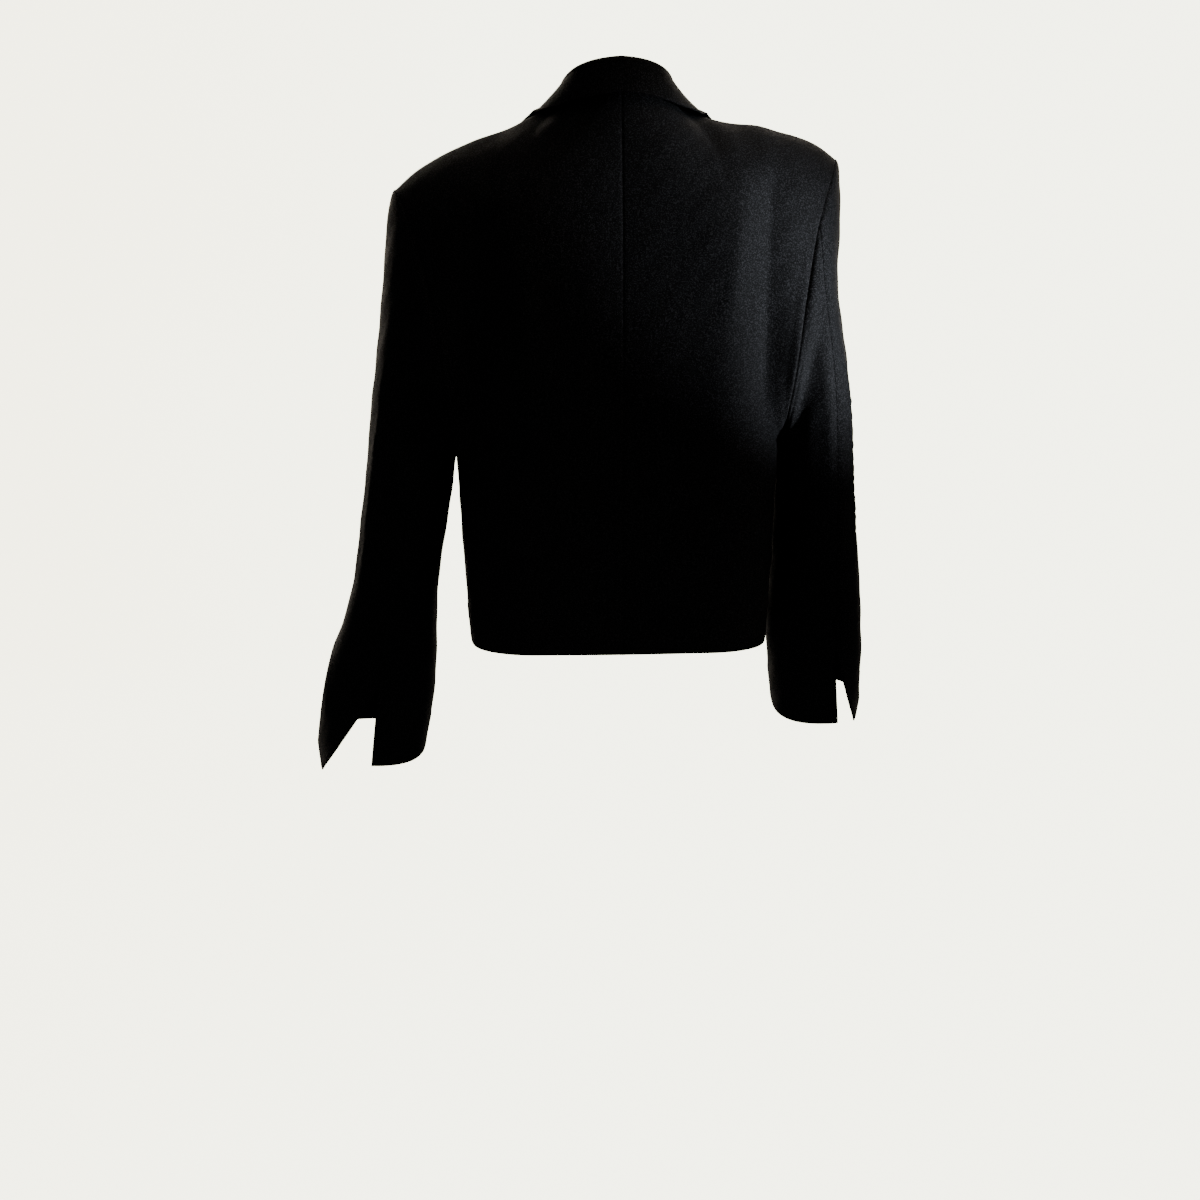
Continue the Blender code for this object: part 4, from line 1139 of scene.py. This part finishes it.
def shell(name, grid, normal, material, thickness, edges):
    """A thin closed shell of cloth under a grid, with rounded edges."""
    half = thickness / 2
    out = edge_directions(grid)
    reach = np.full(grid.shape[:2], half)
    for edge, sewn in zip((np.s_[:, 0], np.s_[:, -1], np.s_[0], np.s_[-1]), edges):
        if sewn:
            reach[edge] = SEWN_ROUND * half
    top = grid - reach[..., None] * out
    low = top - thickness * normal
    rows, columns = grid.shape[:2]
    count = rows * columns
    rim = rim_of(rows, columns)
    at = tuple(np.array(rim).T)
    rings = []
    for step in range(1, RIM_STEPS):
        angle = math.pi * step / RIM_STEPS
        rings.append(
            top[at] - half * (1 - math.cos(angle)) * normal[at]
            + (reach[at] * math.sin(angle))[:, None] * out[at]
        )
    points = np.concatenate([top.reshape(-1, 3), low.reshape(-1, 3)] + rings)
    index = np.arange(count).reshape(rows, columns)
    quads = np.stack([index[:-1, :-1], index[:-1, 1:], index[1:, 1:], index[1:, :-1]], axis=-1)
    quads = quads.reshape(-1, 4)
    faces = [tuple(q) for q in quads] + [tuple(q[::-1] + count) for q in quads]
    loops = [[i * columns + j for i, j in rim]]
    for step in range(len(rings)):
        start = 2 * count + step * len(rim)
        loops.append(list(range(start, start + len(rim))))
    loops.append([i * columns + j + count for i, j in rim])
    for upper, lower in zip(loops, loops[1:]):
        for k in range(len(rim)):
            n = (k + 1) % len(rim)
            faces.append((upper[n], upper[k], lower[k], lower[n]))
    piece = mesh_object(name, points, faces, material)
    first = quads[len(quads) // 2]
    facing = np.cross(points[first[1]] - points[first[0]], points[first[3]] - points[first[0]])
    if np.dot(facing, normal.reshape(-1, 3)[first[0]]) < 0:
        piece.data.flip_normals()
    return piece


def cut_of(grid):
    """The flat width, length and area of a panel before it is worn."""
    across, up = steps_of(grid)
    area = (across[:-1] * up[:, :-1]).sum()
    width, length = across.sum(axis=1).max(), up.sum(axis=0).max()
    area = min(area, width * length)
    return (float(width), float(length)), float(area)


def dress(piece, node, flat_grid):
    """Works out a cloth piece's flat cut, which goes no further, attaches the piece to the root
    body and hides the solid that it replaces.
    """
    flat, area = cut_of(flat_grid)
    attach(piece, "root")
    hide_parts(node)


def crepe_of(cloth):
    """The crepe, made on first use."""
    return bpy.data.materials.get("black crepe shell") or crepe_material(cloth)


# The pieces


def pulled(grid, normal, side, upper):
    """Raises the sleeve's creases, each along its own line round and down the sleeve."""
    calm = inset(grid, PULL_INSET)
    for pull in SLEEVE_PULLS:
        if pull.sign != side.sign or pull.upper != upper:
            continue
        line = []
        for share in np.linspace(0, 1, PULL_POINTS):
            run = pull.run_a + (pull.run_b - pull.run_a) * share
            place = pull.place_a + (pull.place_b - pull.place_a) * share
            point = sleeve_row(run, np.array([place]), side)
            line.append(pose(point, side, arm=ease(run, 0.0, SLEEVE_RINGS[0].run))[0])
        line = np.array(line)
        gap = np.linalg.norm(grid[:, :, None] - line[None, None], axis=3)
        share = gap.argmin(axis=2) / (len(line) - 1)
        fade = ease(share, 0.0, PULL_FADE) * (1 - ease(share, 1 - PULL_FADE, 1.0))
        lift = pull.height * fade * calm * hump(gap.min(axis=2), pull.width)
        grid = grid + lift[..., None] * normal
    return grid


def raised(grid, side):
    """Lifts the shoulder's crest where the cloth stands up from its solid."""
    grid = grid.copy()
    high = ease(grid[..., 2], *CREST_UP)
    for sign, place, reach, height in CREST_LIFTS:
        if sign == side.sign:
            offset = (sign * grid[..., 0] - place) / reach
            grid[..., 2] += height * high * np.exp(-(offset**4))
    return grid


def filled(grid, kind):
    """Lets the cloth bridge the hollow behind the armhole, where the sleeve hangs down."""
    _, from_last, _, from_top = edge_distance(grid)
    distance, reach = from_top, FILL_REACH
    if kind == "back":
        distance, reach = from_last, FILL_REACH_BACK
    grid = grid.copy()
    z = grid[..., 2]
    low = 1 - ease(z, *FILL_LOW_UP)
    lift = (FILL_DEPTH + FILL_LOWER * low) * hump(distance, reach)
    lift += SEAM_LIFT * low * hump(distance, SEAM_LIFT_REACH)
    level = ease(z, *FILL_FROM) * (1 - ease(z, *FILL_TO))
    grid[..., 1] += level * ease(grid[..., 1], *FILL_BEHIND) * lift
    return grid


# A sewn piece: its name, its side, its kind, the way that it faces and how its edges are sewn
Sewn = namedtuple("Sewn", "name side kind away edges")


@lru_cache(maxsize=1)
def sewn_pieces(detail, dip, reach, hem_depth):
    """The body panels and the sleeves: each piece with its flat grid, worn grid and normals."""
    climbs = np.linspace(0, 1, RUNS_UP * detail + 1)
    high = (ease(climbs, *NECK_EASE_FROM) * (1 - ease(climbs, *NECK_EASE_TO)))[:, None]
    pieces = []
    flats = []
    for side in SIDES:
        away = np.array([side.sign, 0, 0])
        back = back_grid(side, BACK_RUNS * detail, climbs)
        front = front_grid(side, FRONT_RUNS * detail, climbs)
        for kind, grid, facing, edges in (("back", back, BEHIND, BACK_EDGES),
                                          ("front", front, AHEAD, FRONT_EDGES)):
            near_neck = high * hump(grid[..., 0] - NECK_EASE_AT, NECK_EASE_WIDTH)
            grid = relaxed(grid, near_neck, NECK_EASE_ROUNDS)
            flats.append(raised(pose(grid, side), side))
            pieces.append(Sewn(f"{kind}_{side.name}", side, kind, facing, edges))
        for kind in ("top", "under"):
            flats.append(raised(sleeve_grid(side, kind == "top", detail), side))
            facing = away if kind == "top" else -away
            pieces.append(Sewn(f"sleeve_{kind}_{side.name}", side, kind, facing, SLEEVE_EDGES))
    normals = shared_normals([(grid, piece.away) for grid, piece in zip(flats, pieces)])
    worn = []
    for seed, (piece, flat, normal) in enumerate(zip(pieces, flats, normals)):
        if piece.kind == "back":
            grid = creased(flat, normal, BACK_CREASES, piece.side)
        elif piece.kind == "front":
            grid = creased(flat, normal, FRONT_CREASES, piece.side)
        else:
            grid = pulled(flat, normal, piece.side, piece.kind == "top")
        height = WAVE_HEIGHT_FRONT if piece.kind == "front" else WAVE_HEIGHT
        grid = waved(grid, normal, WAVE_SEED * seed, height)
        if piece.kind != "front":
            grid = filled(grid, piece.kind)
        worn.append(sew(grid, normal, dip, reach, hem_depth, piece.edges))
    worn = joined(flats, worn)
    final = shared_normals([(grid, piece.away) for grid, piece in zip(worn, pieces)])
    return tuple(zip(pieces, flats, worn, final))


def make_sewn(context, kinds):
    """Builds the shells of some kinds of sewn piece."""
    cloth = context.scene.jacket_cloth
    sizes = (cloth.detail, cloth.seam_dip, cloth.seam_reach, cloth.hem_depth)
    for piece, flat, grid, normal in sewn_pieces(*sizes):
        if piece.kind in kinds:
            made = shell(f"{piece.name}_cloth", grid, normal, crepe_of(cloth), cloth.thickness,
                         piece.edges)
            dress(made, piece.name, flat)
    return {"FINISHED"}


class JACKET_OT_back(bpy.types.Operator):
    """Builds the two back halves with their blade folds"""

    bl_idname = "jacket.back"
    bl_label = "Back halves"

    def execute(self, context):
        return make_sewn(context, ("back",))


class JACKET_OT_front(bpy.types.Operator):
    """Builds the two front halves, the right one over the left one"""

    bl_idname = "jacket.front"
    bl_label = "Front halves"

    def execute(self, context):
        return make_sewn(context, ("front",))


class JACKET_OT_sleeves(bpy.types.Operator):
    """Builds the top and under sleeves, open at their vents"""

    bl_idname = "jacket.sleeves"
    bl_label = "Sleeves"

    def execute(self, context):
        return make_sewn(context, ("top", "under"))


class JACKET_OT_lapels(bpy.types.Operator):
    """Builds the two lapels, rolled round the fronts' edges"""

    bl_idname = "jacket.lapels"
    bl_label = "Lapels"

    def execute(self, context):
        cloth = context.scene.jacket_cloth
        across, up = LAPEL_RUNS
        shares = np.linspace(0, 1, (across - LAPEL_TURN_RUNS) * cloth.detail + 1)
        lifts = np.linspace(LAPEL_START, 1, up * cloth.detail + 1)
        for side in SIDES:
            grid, normal = rolled(side, shares, lifts, LAPEL_TURN_RUNS * cloth.detail)
            grid = pose(grid, side)
            piece = shell(f"lapel_{side.name}_cloth", grid, mirrored(normal, side),
                          crepe_of(cloth), cloth.thickness, FREE_EDGES)
            dress(piece, f"lapel_{side.name}", grid)
        return {"FINISHED"}


class JACKET_OT_collar(bpy.types.Operator):
    """Builds the collar, with its stand, its fold and its leaf"""

    bl_idname = "jacket.collar"
    bl_label = "Collar"

    def execute(self, context):
        cloth = context.scene.jacket_cloth
        detail = COLLAR_BODY_DETAIL
        climbs = np.linspace(0, 1, detail * RUNS_UP + 1)
        body = []
        for side in SIDES:
            body.append(pose(back_grid(side, detail * BACK_RUNS, climbs), side))
            body.append(pose(front_grid(side, detail * FRONT_RUNS, climbs), side))
        grid, normal = collar_grid(body, cloth.detail)
        lift = COLLAR_LIFT * hump(grid[..., 0], COLLAR_LIFT_REACH)
        grid[..., 2] += lift * ease(grid[..., 2], *COLLAR_LIFT_UP)
        piece = shell("collar_cloth", grid, normal, crepe_of(cloth), cloth.thickness, FREE_EDGES)
        dress(piece, "collar", grid)
        return {"FINISHED"}


# The button's profile from its dished face round its rim to its back, in shares of its radius
# and of its thickness
BUTTON_PROFILE = (
    (0.40, 0.30), (0.62, 0.34), (0.72, 0.52), (0.80, 0.80), (0.88, 0.96), (0.94, 1.00),
    (0.985, 0.90), (1.0, 0.66), (0.985, 0.40), (0.92, 0.18), (0.80, 0.04), (0.55, 0.0),
)
BUTTON_SEGMENTS = 48
BUTTON_SHARP = math.radians(50)  # edges sharper than this stay sharp
BUTTON_TOP_CLIMB = 0.37     # climb of the top button
BUTTON_CLIMB_LENGTH = 0.60  # length of the front over all its climb
BUTTON_SHARE = 0.055        # where the buttons stand along the front's row
BUTTON_STAND = 0.0009       # how far they stand off the cloth
HOLE_CIRCLE = 0.0027        # the four thread holes lie on a circle of this radius
HOLE_SEGMENTS = 20
THREAD_RADIUS = 0.00045
THREAD_STEPS = 16
THREAD_BESIDE = 0.0019      # the two threads lie this much off the button's middle
THREAD_LOW = 0.0009         # where a thread goes in over the button's back
THREAD_ARCH = 0.0010        # and how far it rises from there
BUTTONHOLE = (0.030, 0.135)  # the buttonhole's ends along the front's row
BUTTONHOLE_POINTS = 40
BUTTONHOLE_HALF = 0.0011    # half its width
BUTTONHOLE_LIFT = 0.0002
BUTTONHOLE_THREAD = 0.0006
TUBE_SIDES = 8
TUBE_ACROSS = (0.12, 0.97, 0.2)  # no thread runs this way


def button_mesh(number, turn, buttons, horn):
    """A turned button: a dished face, a rounded rim and four thread holes."""
    radius, thick, hole = buttons.radius, buttons.thickness, buttons.hole
    segments = BUTTON_SEGMENTS
    points = []
    for r, h in BUTTON_PROFILE:
        for k in range(segments):
            a = 2 * math.pi * k / segments
            points.append((radius * r * math.cos(a), radius * r * math.sin(a), thick * h))
    rings = len(BUTTON_PROFILE)
    faces = []
    for i in range(rings - 1):
        for k in range(segments):
            n = (k + 1) % segments
            faces.append((i * segments + k, i * segments + n, (i + 1) * segments + n,
                          (i + 1) * segments + k))
    faces.append(tuple(range(segments - 1, -1, -1)))
    faces.append(tuple(range((rings - 1) * segments, rings * segments)))
    piece = mesh_object(f"button_{number}_horn", points, faces, horn)
    cutters = []
    for k in range(4):
        a = math.pi / 4 + k * math.pi / 2
        centre = (HOLE_CIRCLE * math.cos(a), HOLE_CIRCLE * math.sin(a), thick / 2)
        bpy.ops.mesh.primitive_cylinder_add(
            vertices=HOLE_SEGMENTS, radius=hole, depth=2 * thick, location=centre)
        cutters.append(bpy.context.object)
    for cutter in cutters:
        cut = piece.modifiers.new("hole", "BOOLEAN")
        cut.operation = "DIFFERENCE"
        cut.object = cutter
        cut.solver = "EXACT"
    shape = bpy.data.meshes.new_from_object(
        piece.evaluated_get(bpy.context.evaluated_depsgraph_get()))
    piece.modifiers.clear()
    old, piece.data = piece.data, shape
    bpy.data.meshes.remove(old)
    for cutter in cutters:
        bpy.data.objects.remove(cutter)
    piece.data.shade_smooth()
    piece.data.set_sharp_from_angle(angle=BUTTON_SHARP)
    piece.data.transform(turn)
    piece.data.update()
    return piece


def thread_tube(name, path, radius, material, closed=False):
    """A tube of thread along a path."""
    path = np.array(path, float)
    count = len(path)
    ahead = np.roll(path, -1, axis=0) - np.roll(path, 1, axis=0)
    if not closed:
        ahead[0] = path[1] - path[0]
        ahead[-1] = path[-1] - path[-2]
    ahead = unit(ahead)
    side = unit(np.cross(ahead, np.array(TUBE_ACROSS)))
    up = np.cross(side, ahead)
    sides = TUBE_SIDES
    points = []
    for k in range(count):
        for j in range(sides):
            a = 2 * math.pi * j / sides
            points.append(path[k] + radius * (math.cos(a) * side[k] + math.sin(a) * up[k]))
    faces = []
    for k in range(count if closed else count - 1):
        n = (k + 1) % count
        for j in range(sides):
            m = (j + 1) % sides
            faces.append((k * sides + j, k * sides + m, n * sides + m, n * sides + j))
    if not closed:
        faces.append(tuple(range(sides - 1, -1, -1)))
        faces.append(tuple(range((count - 1) * sides, count * sides)))
    return mesh_object(name, points, faces, material)


def thread_path(turn, beside):
    """A thread's arch from one hole of a button to the next."""
    path = []
    for step in range(THREAD_STEPS + 1):
        a = math.pi * step / THREAD_STEPS
        x = HOLE_CIRCLE / math.sqrt(2) * math.cos(a)
        z = THREAD_LOW + THREAD_ARCH * math.sin(a)
        path.append(tuple(turn @ Vector((x, beside, z))))
    return path


def buttonhole_path(side, climb):
    """The loop of the stitches round a buttonhole."""
    shares = np.linspace(*BUTTONHOLE, BUTTONHOLE_POINTS)
    line, away = front_points(side, np.full(BUTTONHOLE_POINTS, climb), shares)
    line = pose(line, side) + mirrored(away, side) * BUTTONHOLE_LIFT
    half = np.array([0, 0, BUTTONHOLE_HALF])
    return np.concatenate([line + half, (line - half)[::-1]])


class JACKET_OT_buttons(bpy.types.Operator):
    """Builds the buttons with their thread, and the worked buttonholes"""

    bl_idname = "jacket.buttons"
    bl_label = "Buttons"

    def execute(self, context):
        buttons = context.scene.jacket_buttons
        horn = horn_material(buttons)
        twist = thread_material(context.scene.jacket_cloth)
        side = SIDES[1]
        for number in range(1, 4):
            climb = BUTTON_TOP_CLIMB - (number - 1) * BUTTON_SPACING / BUTTON_CLIMB_LENGTH
            spot, normal = front_points(side, np.array([climb]), np.array([BUTTON_SHARE]))
            normal = mirrored(normal[0], side)
            turn = Vector(normal).to_track_quat("Z", "Y").to_matrix().to_4x4()
            turn.translation = Vector(pose(spot, side)[0] + normal * BUTTON_STAND)
            piece = button_mesh(number, turn, buttons, horn)
            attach(piece, "root")
            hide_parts(f"button_{number}")
            threads = [
                thread_tube(f"button_{number}_thread_{pair}", thread_path(turn, beside),
                            THREAD_RADIUS, twist)
                for pair, beside in ((1, -THREAD_BESIDE), (2, THREAD_BESIDE))
            ]
            threads.append(thread_tube(f"buttonhole_{number}", buttonhole_path(side, climb),
                                       BUTTONHOLE_THREAD, twist, closed=True))
            for thread in threads:
                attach(thread, "root")
        return {"FINISHED"}


# The beams on the right shoulder: share of the power, place, target, cone in degrees, how narrow
# the cone is from side to side, how soft its edge is and how far it is rolled, in degrees
Beam = namedtuple("Beam", "name share place target cone narrow blend roll")
BEAMS = (
    Beam("shoulder_beam", 1.0, (-2.66, 0.98, -0.66), (-0.186, 0.076, -0.205),
         6.8, 0.42, 0.28, 9.0),
    Beam("shoulder_glow", 0.25, (-2.30, 1.30, 0.60), (-0.205, 0.045, -0.045),
         4.2, 0.8, 1.0, 0.0),
)
BEAM_COLOUR = (0.86, 0.92, 1.0)
BEAM_SOFTNESS = 0.05        # size of the beams' lamps
# The softboxes: share of the power, place, target and size
Softbox = namedtuple("Softbox", "name share place target size")
SOFTBOXES = (
    Softbox("softbox_above", 0.45, (-1.10, 0.26, 1.90), (0.0, 0.05, 0.0), 0.9),
    Softbox("softbox_ahead", 0.7, (-0.60, -2.20, 1.40), (0.0, 0.0, -0.25), 1.8),
    Softbox("softbox_front_left", 3.6, (1.00, -2.70, 0.20), (0.0, 0.0, -0.35), 1.4),
    Softbox("softbox_front_right", 2.6, (-1.30, -2.60, 0.30), (0.0, 0.0, -0.35), 1.4),
)
SOFTBOX_COLOUR = (1.0, 0.88, 0.74)
ROOM_COLOUR = (1.0, 0.99, 0.97)
PAPER_FLOOR = -1.55         # height of the paper's floor
PAPER_CENTRE = 0.05         # radius of the face in the middle of the floor
PAPER_WALL = 5.2            # radius of its round wall
PAPER_TOP = 5.0             # height of the wall
PAPER_BEND = 1.2            # radius of the bend between them
PAPER_BEND_STEPS = 24
PAPER_TURNS = 72
CAMERA_YAW = math.radians(4.0)    # how far to the left of straight behind it stands
CAMERA_REACH = 2.5                # how far off
CAMERA_HEIGHT = -0.005
CAMERA_PITCH = math.radians(12.0)  # how far down it looks
CAMERA_SENSOR = 36.0
PICTURE_WIDTH = 1200.0            # in pixels, as the two that follow
CAMERA_FOCUS = 2380.0             # its focal length
CAMERA_COLUMN = 616.0             # where the jacket's middle stands in the picture


def aim(light, place, target, roll=0.0):
    """Puts a light at a place, points it and rolls it about its own axis."""
    light.location = place
    way = Vector(target) - Vector(place)
    turn = Quaternion((0, 0, 1), math.radians(roll))
    light.rotation_euler = (way.to_track_quat("-Z", "Y") @ turn).to_euler()


def camera_pose():
    """The camera's place and turn, behind the jacket and a little to its left."""
    place = Vector((math.sin(CAMERA_YAW), math.cos(CAMERA_YAW), 0)) * CAMERA_REACH
    turn = math.atan((CAMERA_COLUMN - PICTURE_WIDTH / 2) / CAMERA_FOCUS)
    level = Matrix.Rotation(turn, 3, "Z") @ -place.normalized()
    right = level.cross(Vector((0, 0, 1))).normalized()
    ahead = level * math.cos(CAMERA_PITCH) - Vector((0, 0, 1)) * math.sin(CAMERA_PITCH)
    up = right.cross(ahead)
    view = Matrix((right, up, -ahead)).transposed().to_4x4()
    view.translation = place + Vector((0, 0, CAMERA_HEIGHT))
    return view


def paper_material(studio):
    """Pale studio paper that glows evenly, a little warmer at one side."""
    material, shader, place = new_material("pale studio paper")
    across = place.node("ShaderNodeSeparateXYZ", Vector=place)
    soft = place.node("ShaderNodeTexNoise", Vector=place, Scale=0.8, Detail=1.0)
    warm = ((across - 0.1) * 0.70 + (soft - 0.5) * 0.8).clamp() * 0.55
    tint = warm.mix((*studio.paper, 1), (*studio.warmth, 1))
    feed(shader, "Base Color", tint)
    feed(shader, "Emission Color", tint)
    shader.inputs["Emission Strength"].default_value = studio.glow
    shader.inputs["Roughness"].default_value = 0.95
    shader.inputs["Specular IOR Level"].default_value = 0.1
    return material


def paper_mesh(material):
    """The paper's floor, which bends up into a round wall."""
    profile = [(PAPER_CENTRE, PAPER_FLOOR)]
    for k in range(PAPER_BEND_STEPS + 1):
        a = math.pi / 2 * k / PAPER_BEND_STEPS
        profile.append((PAPER_WALL - PAPER_BEND + PAPER_BEND * math.sin(a),
                        PAPER_FLOOR + PAPER_BEND - PAPER_BEND * math.cos(a)))
    profile.append((PAPER_WALL, PAPER_TOP))
    turns = PAPER_TURNS
    points = [
        (r * math.cos(2 * math.pi * k / turns), r * math.sin(2 * math.pi * k / turns), z)
        for r, z in profile for k in range(turns)
    ]
    faces = [tuple(range(turns))]
    for ring in range(len(profile) - 1):
        for k in range(turns):
            low, high = ring * turns, (ring + 1) * turns
            after = (k + 1) % turns
            faces.append((low + k, high + k, high + after, low + after))
    return mesh_object("studio_paper", points, faces, material)


def lamp(kind, row, power, colour, lit):
    """A light of a table's row, in the scene, that lights one collection only."""
    light = bpy.data.objects.new(row.name, bpy.data.lights.new(row.name, kind))
    light.data.energy = power * row.share
    light.data.color = colour
    light.light_linking.receiver_collection = lit
    bpy.context.scene.collection.objects.link(light)
    return light


class JACKET_OT_stage(bpy.types.Operator):
    """Builds the pale floor and wall, the lights and the camera"""

    bl_idname = "jacket.stage"
    bl_label = "Stage"

    def execute(self, context):
        scene = context.scene
        studio = scene.jacket_studio
        paper = paper_mesh(paper_material(studio))
        paper.visible_diffuse = False
        paper.visible_glossy = False

        world = bpy.data.worlds.new("pale room")
        world.use_nodes = True
        sky = world.node_tree.nodes["Background"]
        sky.inputs["Color"].default_value = (*ROOM_COLOUR, 1)
        sky.inputs["Strength"].default_value = studio.fill
        scene.world = world

        jacket = bpy.data.collections.new("jacket")
        for piece in bpy.data.objects:
            if piece.type == "MESH" and piece is not paper:
                jacket.objects.link(piece)
        for row in BEAMS:
            beam = lamp("SPOT", row, studio.beam, BEAM_COLOUR, jacket)
            beam.data.spot_size = math.radians(row.cone)
            beam.data.spot_blend = row.blend
            beam.data.shadow_soft_size = BEAM_SOFTNESS
            aim(beam, row.place, row.target, row.roll)
            beam.scale = (row.narrow, 1.0, 1.0)
        for row in SOFTBOXES:
            softbox = lamp("AREA", row, studio.front, SOFTBOX_COLOUR, jacket)
            softbox.data.size = row.size
            aim(softbox, row.place, row.target)

        camera = bpy.data.objects.new("camera", bpy.data.cameras.new("camera"))
        camera.data.sensor_width = CAMERA_SENSOR
        camera.data.lens = CAMERA_FOCUS / PICTURE_WIDTH * CAMERA_SENSOR
        camera.matrix_world = camera_pose()
        scene.collection.objects.link(camera)
        scene.camera = camera
        return {"FINISHED"}


class JACKET_PT_panel(bpy.types.Panel):
    """Lists the jacket's sizes and the steps that build it"""

    bl_label = "Jacket"
    bl_idname = "JACKET_PT_panel"
    bl_space_type = "VIEW_3D"
    bl_region_type = "UI"
    bl_category = "Jacket"

    def draw(self, context):
        for group in (context.scene.jacket_cloth, context.scene.jacket_buttons,
                      context.scene.jacket_studio):
            box = self.layout.box()
            for name in group.bl_rna.properties.keys():
                if name not in ("rna_type", "name"):
                    box.prop(group, name)
        for operator in OPERATORS:
            self.layout.operator(operator.bl_idname)


GROUPS = (JacketCloth, JacketButtons, JacketStudio)
OPERATORS = (JACKET_OT_back, JACKET_OT_front, JACKET_OT_sleeves, JACKET_OT_lapels,
             JACKET_OT_collar, JACKET_OT_buttons, JACKET_OT_stage)


def register():
    for item in GROUPS + OPERATORS + (JACKET_PT_panel,):
        bpy.utils.register_class(item)
    bpy.types.Scene.jacket_cloth = PointerProperty(type=JacketCloth)
    bpy.types.Scene.jacket_buttons = PointerProperty(type=JacketButtons)
    bpy.types.Scene.jacket_studio = PointerProperty(type=JacketStudio)


def unregister():
    for name in ("jacket_cloth", "jacket_buttons", "jacket_studio"):
        delattr(bpy.types.Scene, name)
    for item in reversed(GROUPS + OPERATORS + (JACKET_PT_panel,)):
        bpy.utils.unregister_class(item)


def main():
    register()
    bpy.ops.jacket.back()
    bpy.ops.jacket.front()
    bpy.ops.jacket.sleeves()
    bpy.ops.jacket.lapels()
    bpy.ops.jacket.collar()
    bpy.ops.jacket.buttons()
    bpy.ops.jacket.stage()


if __name__ == "__main__":
    main()
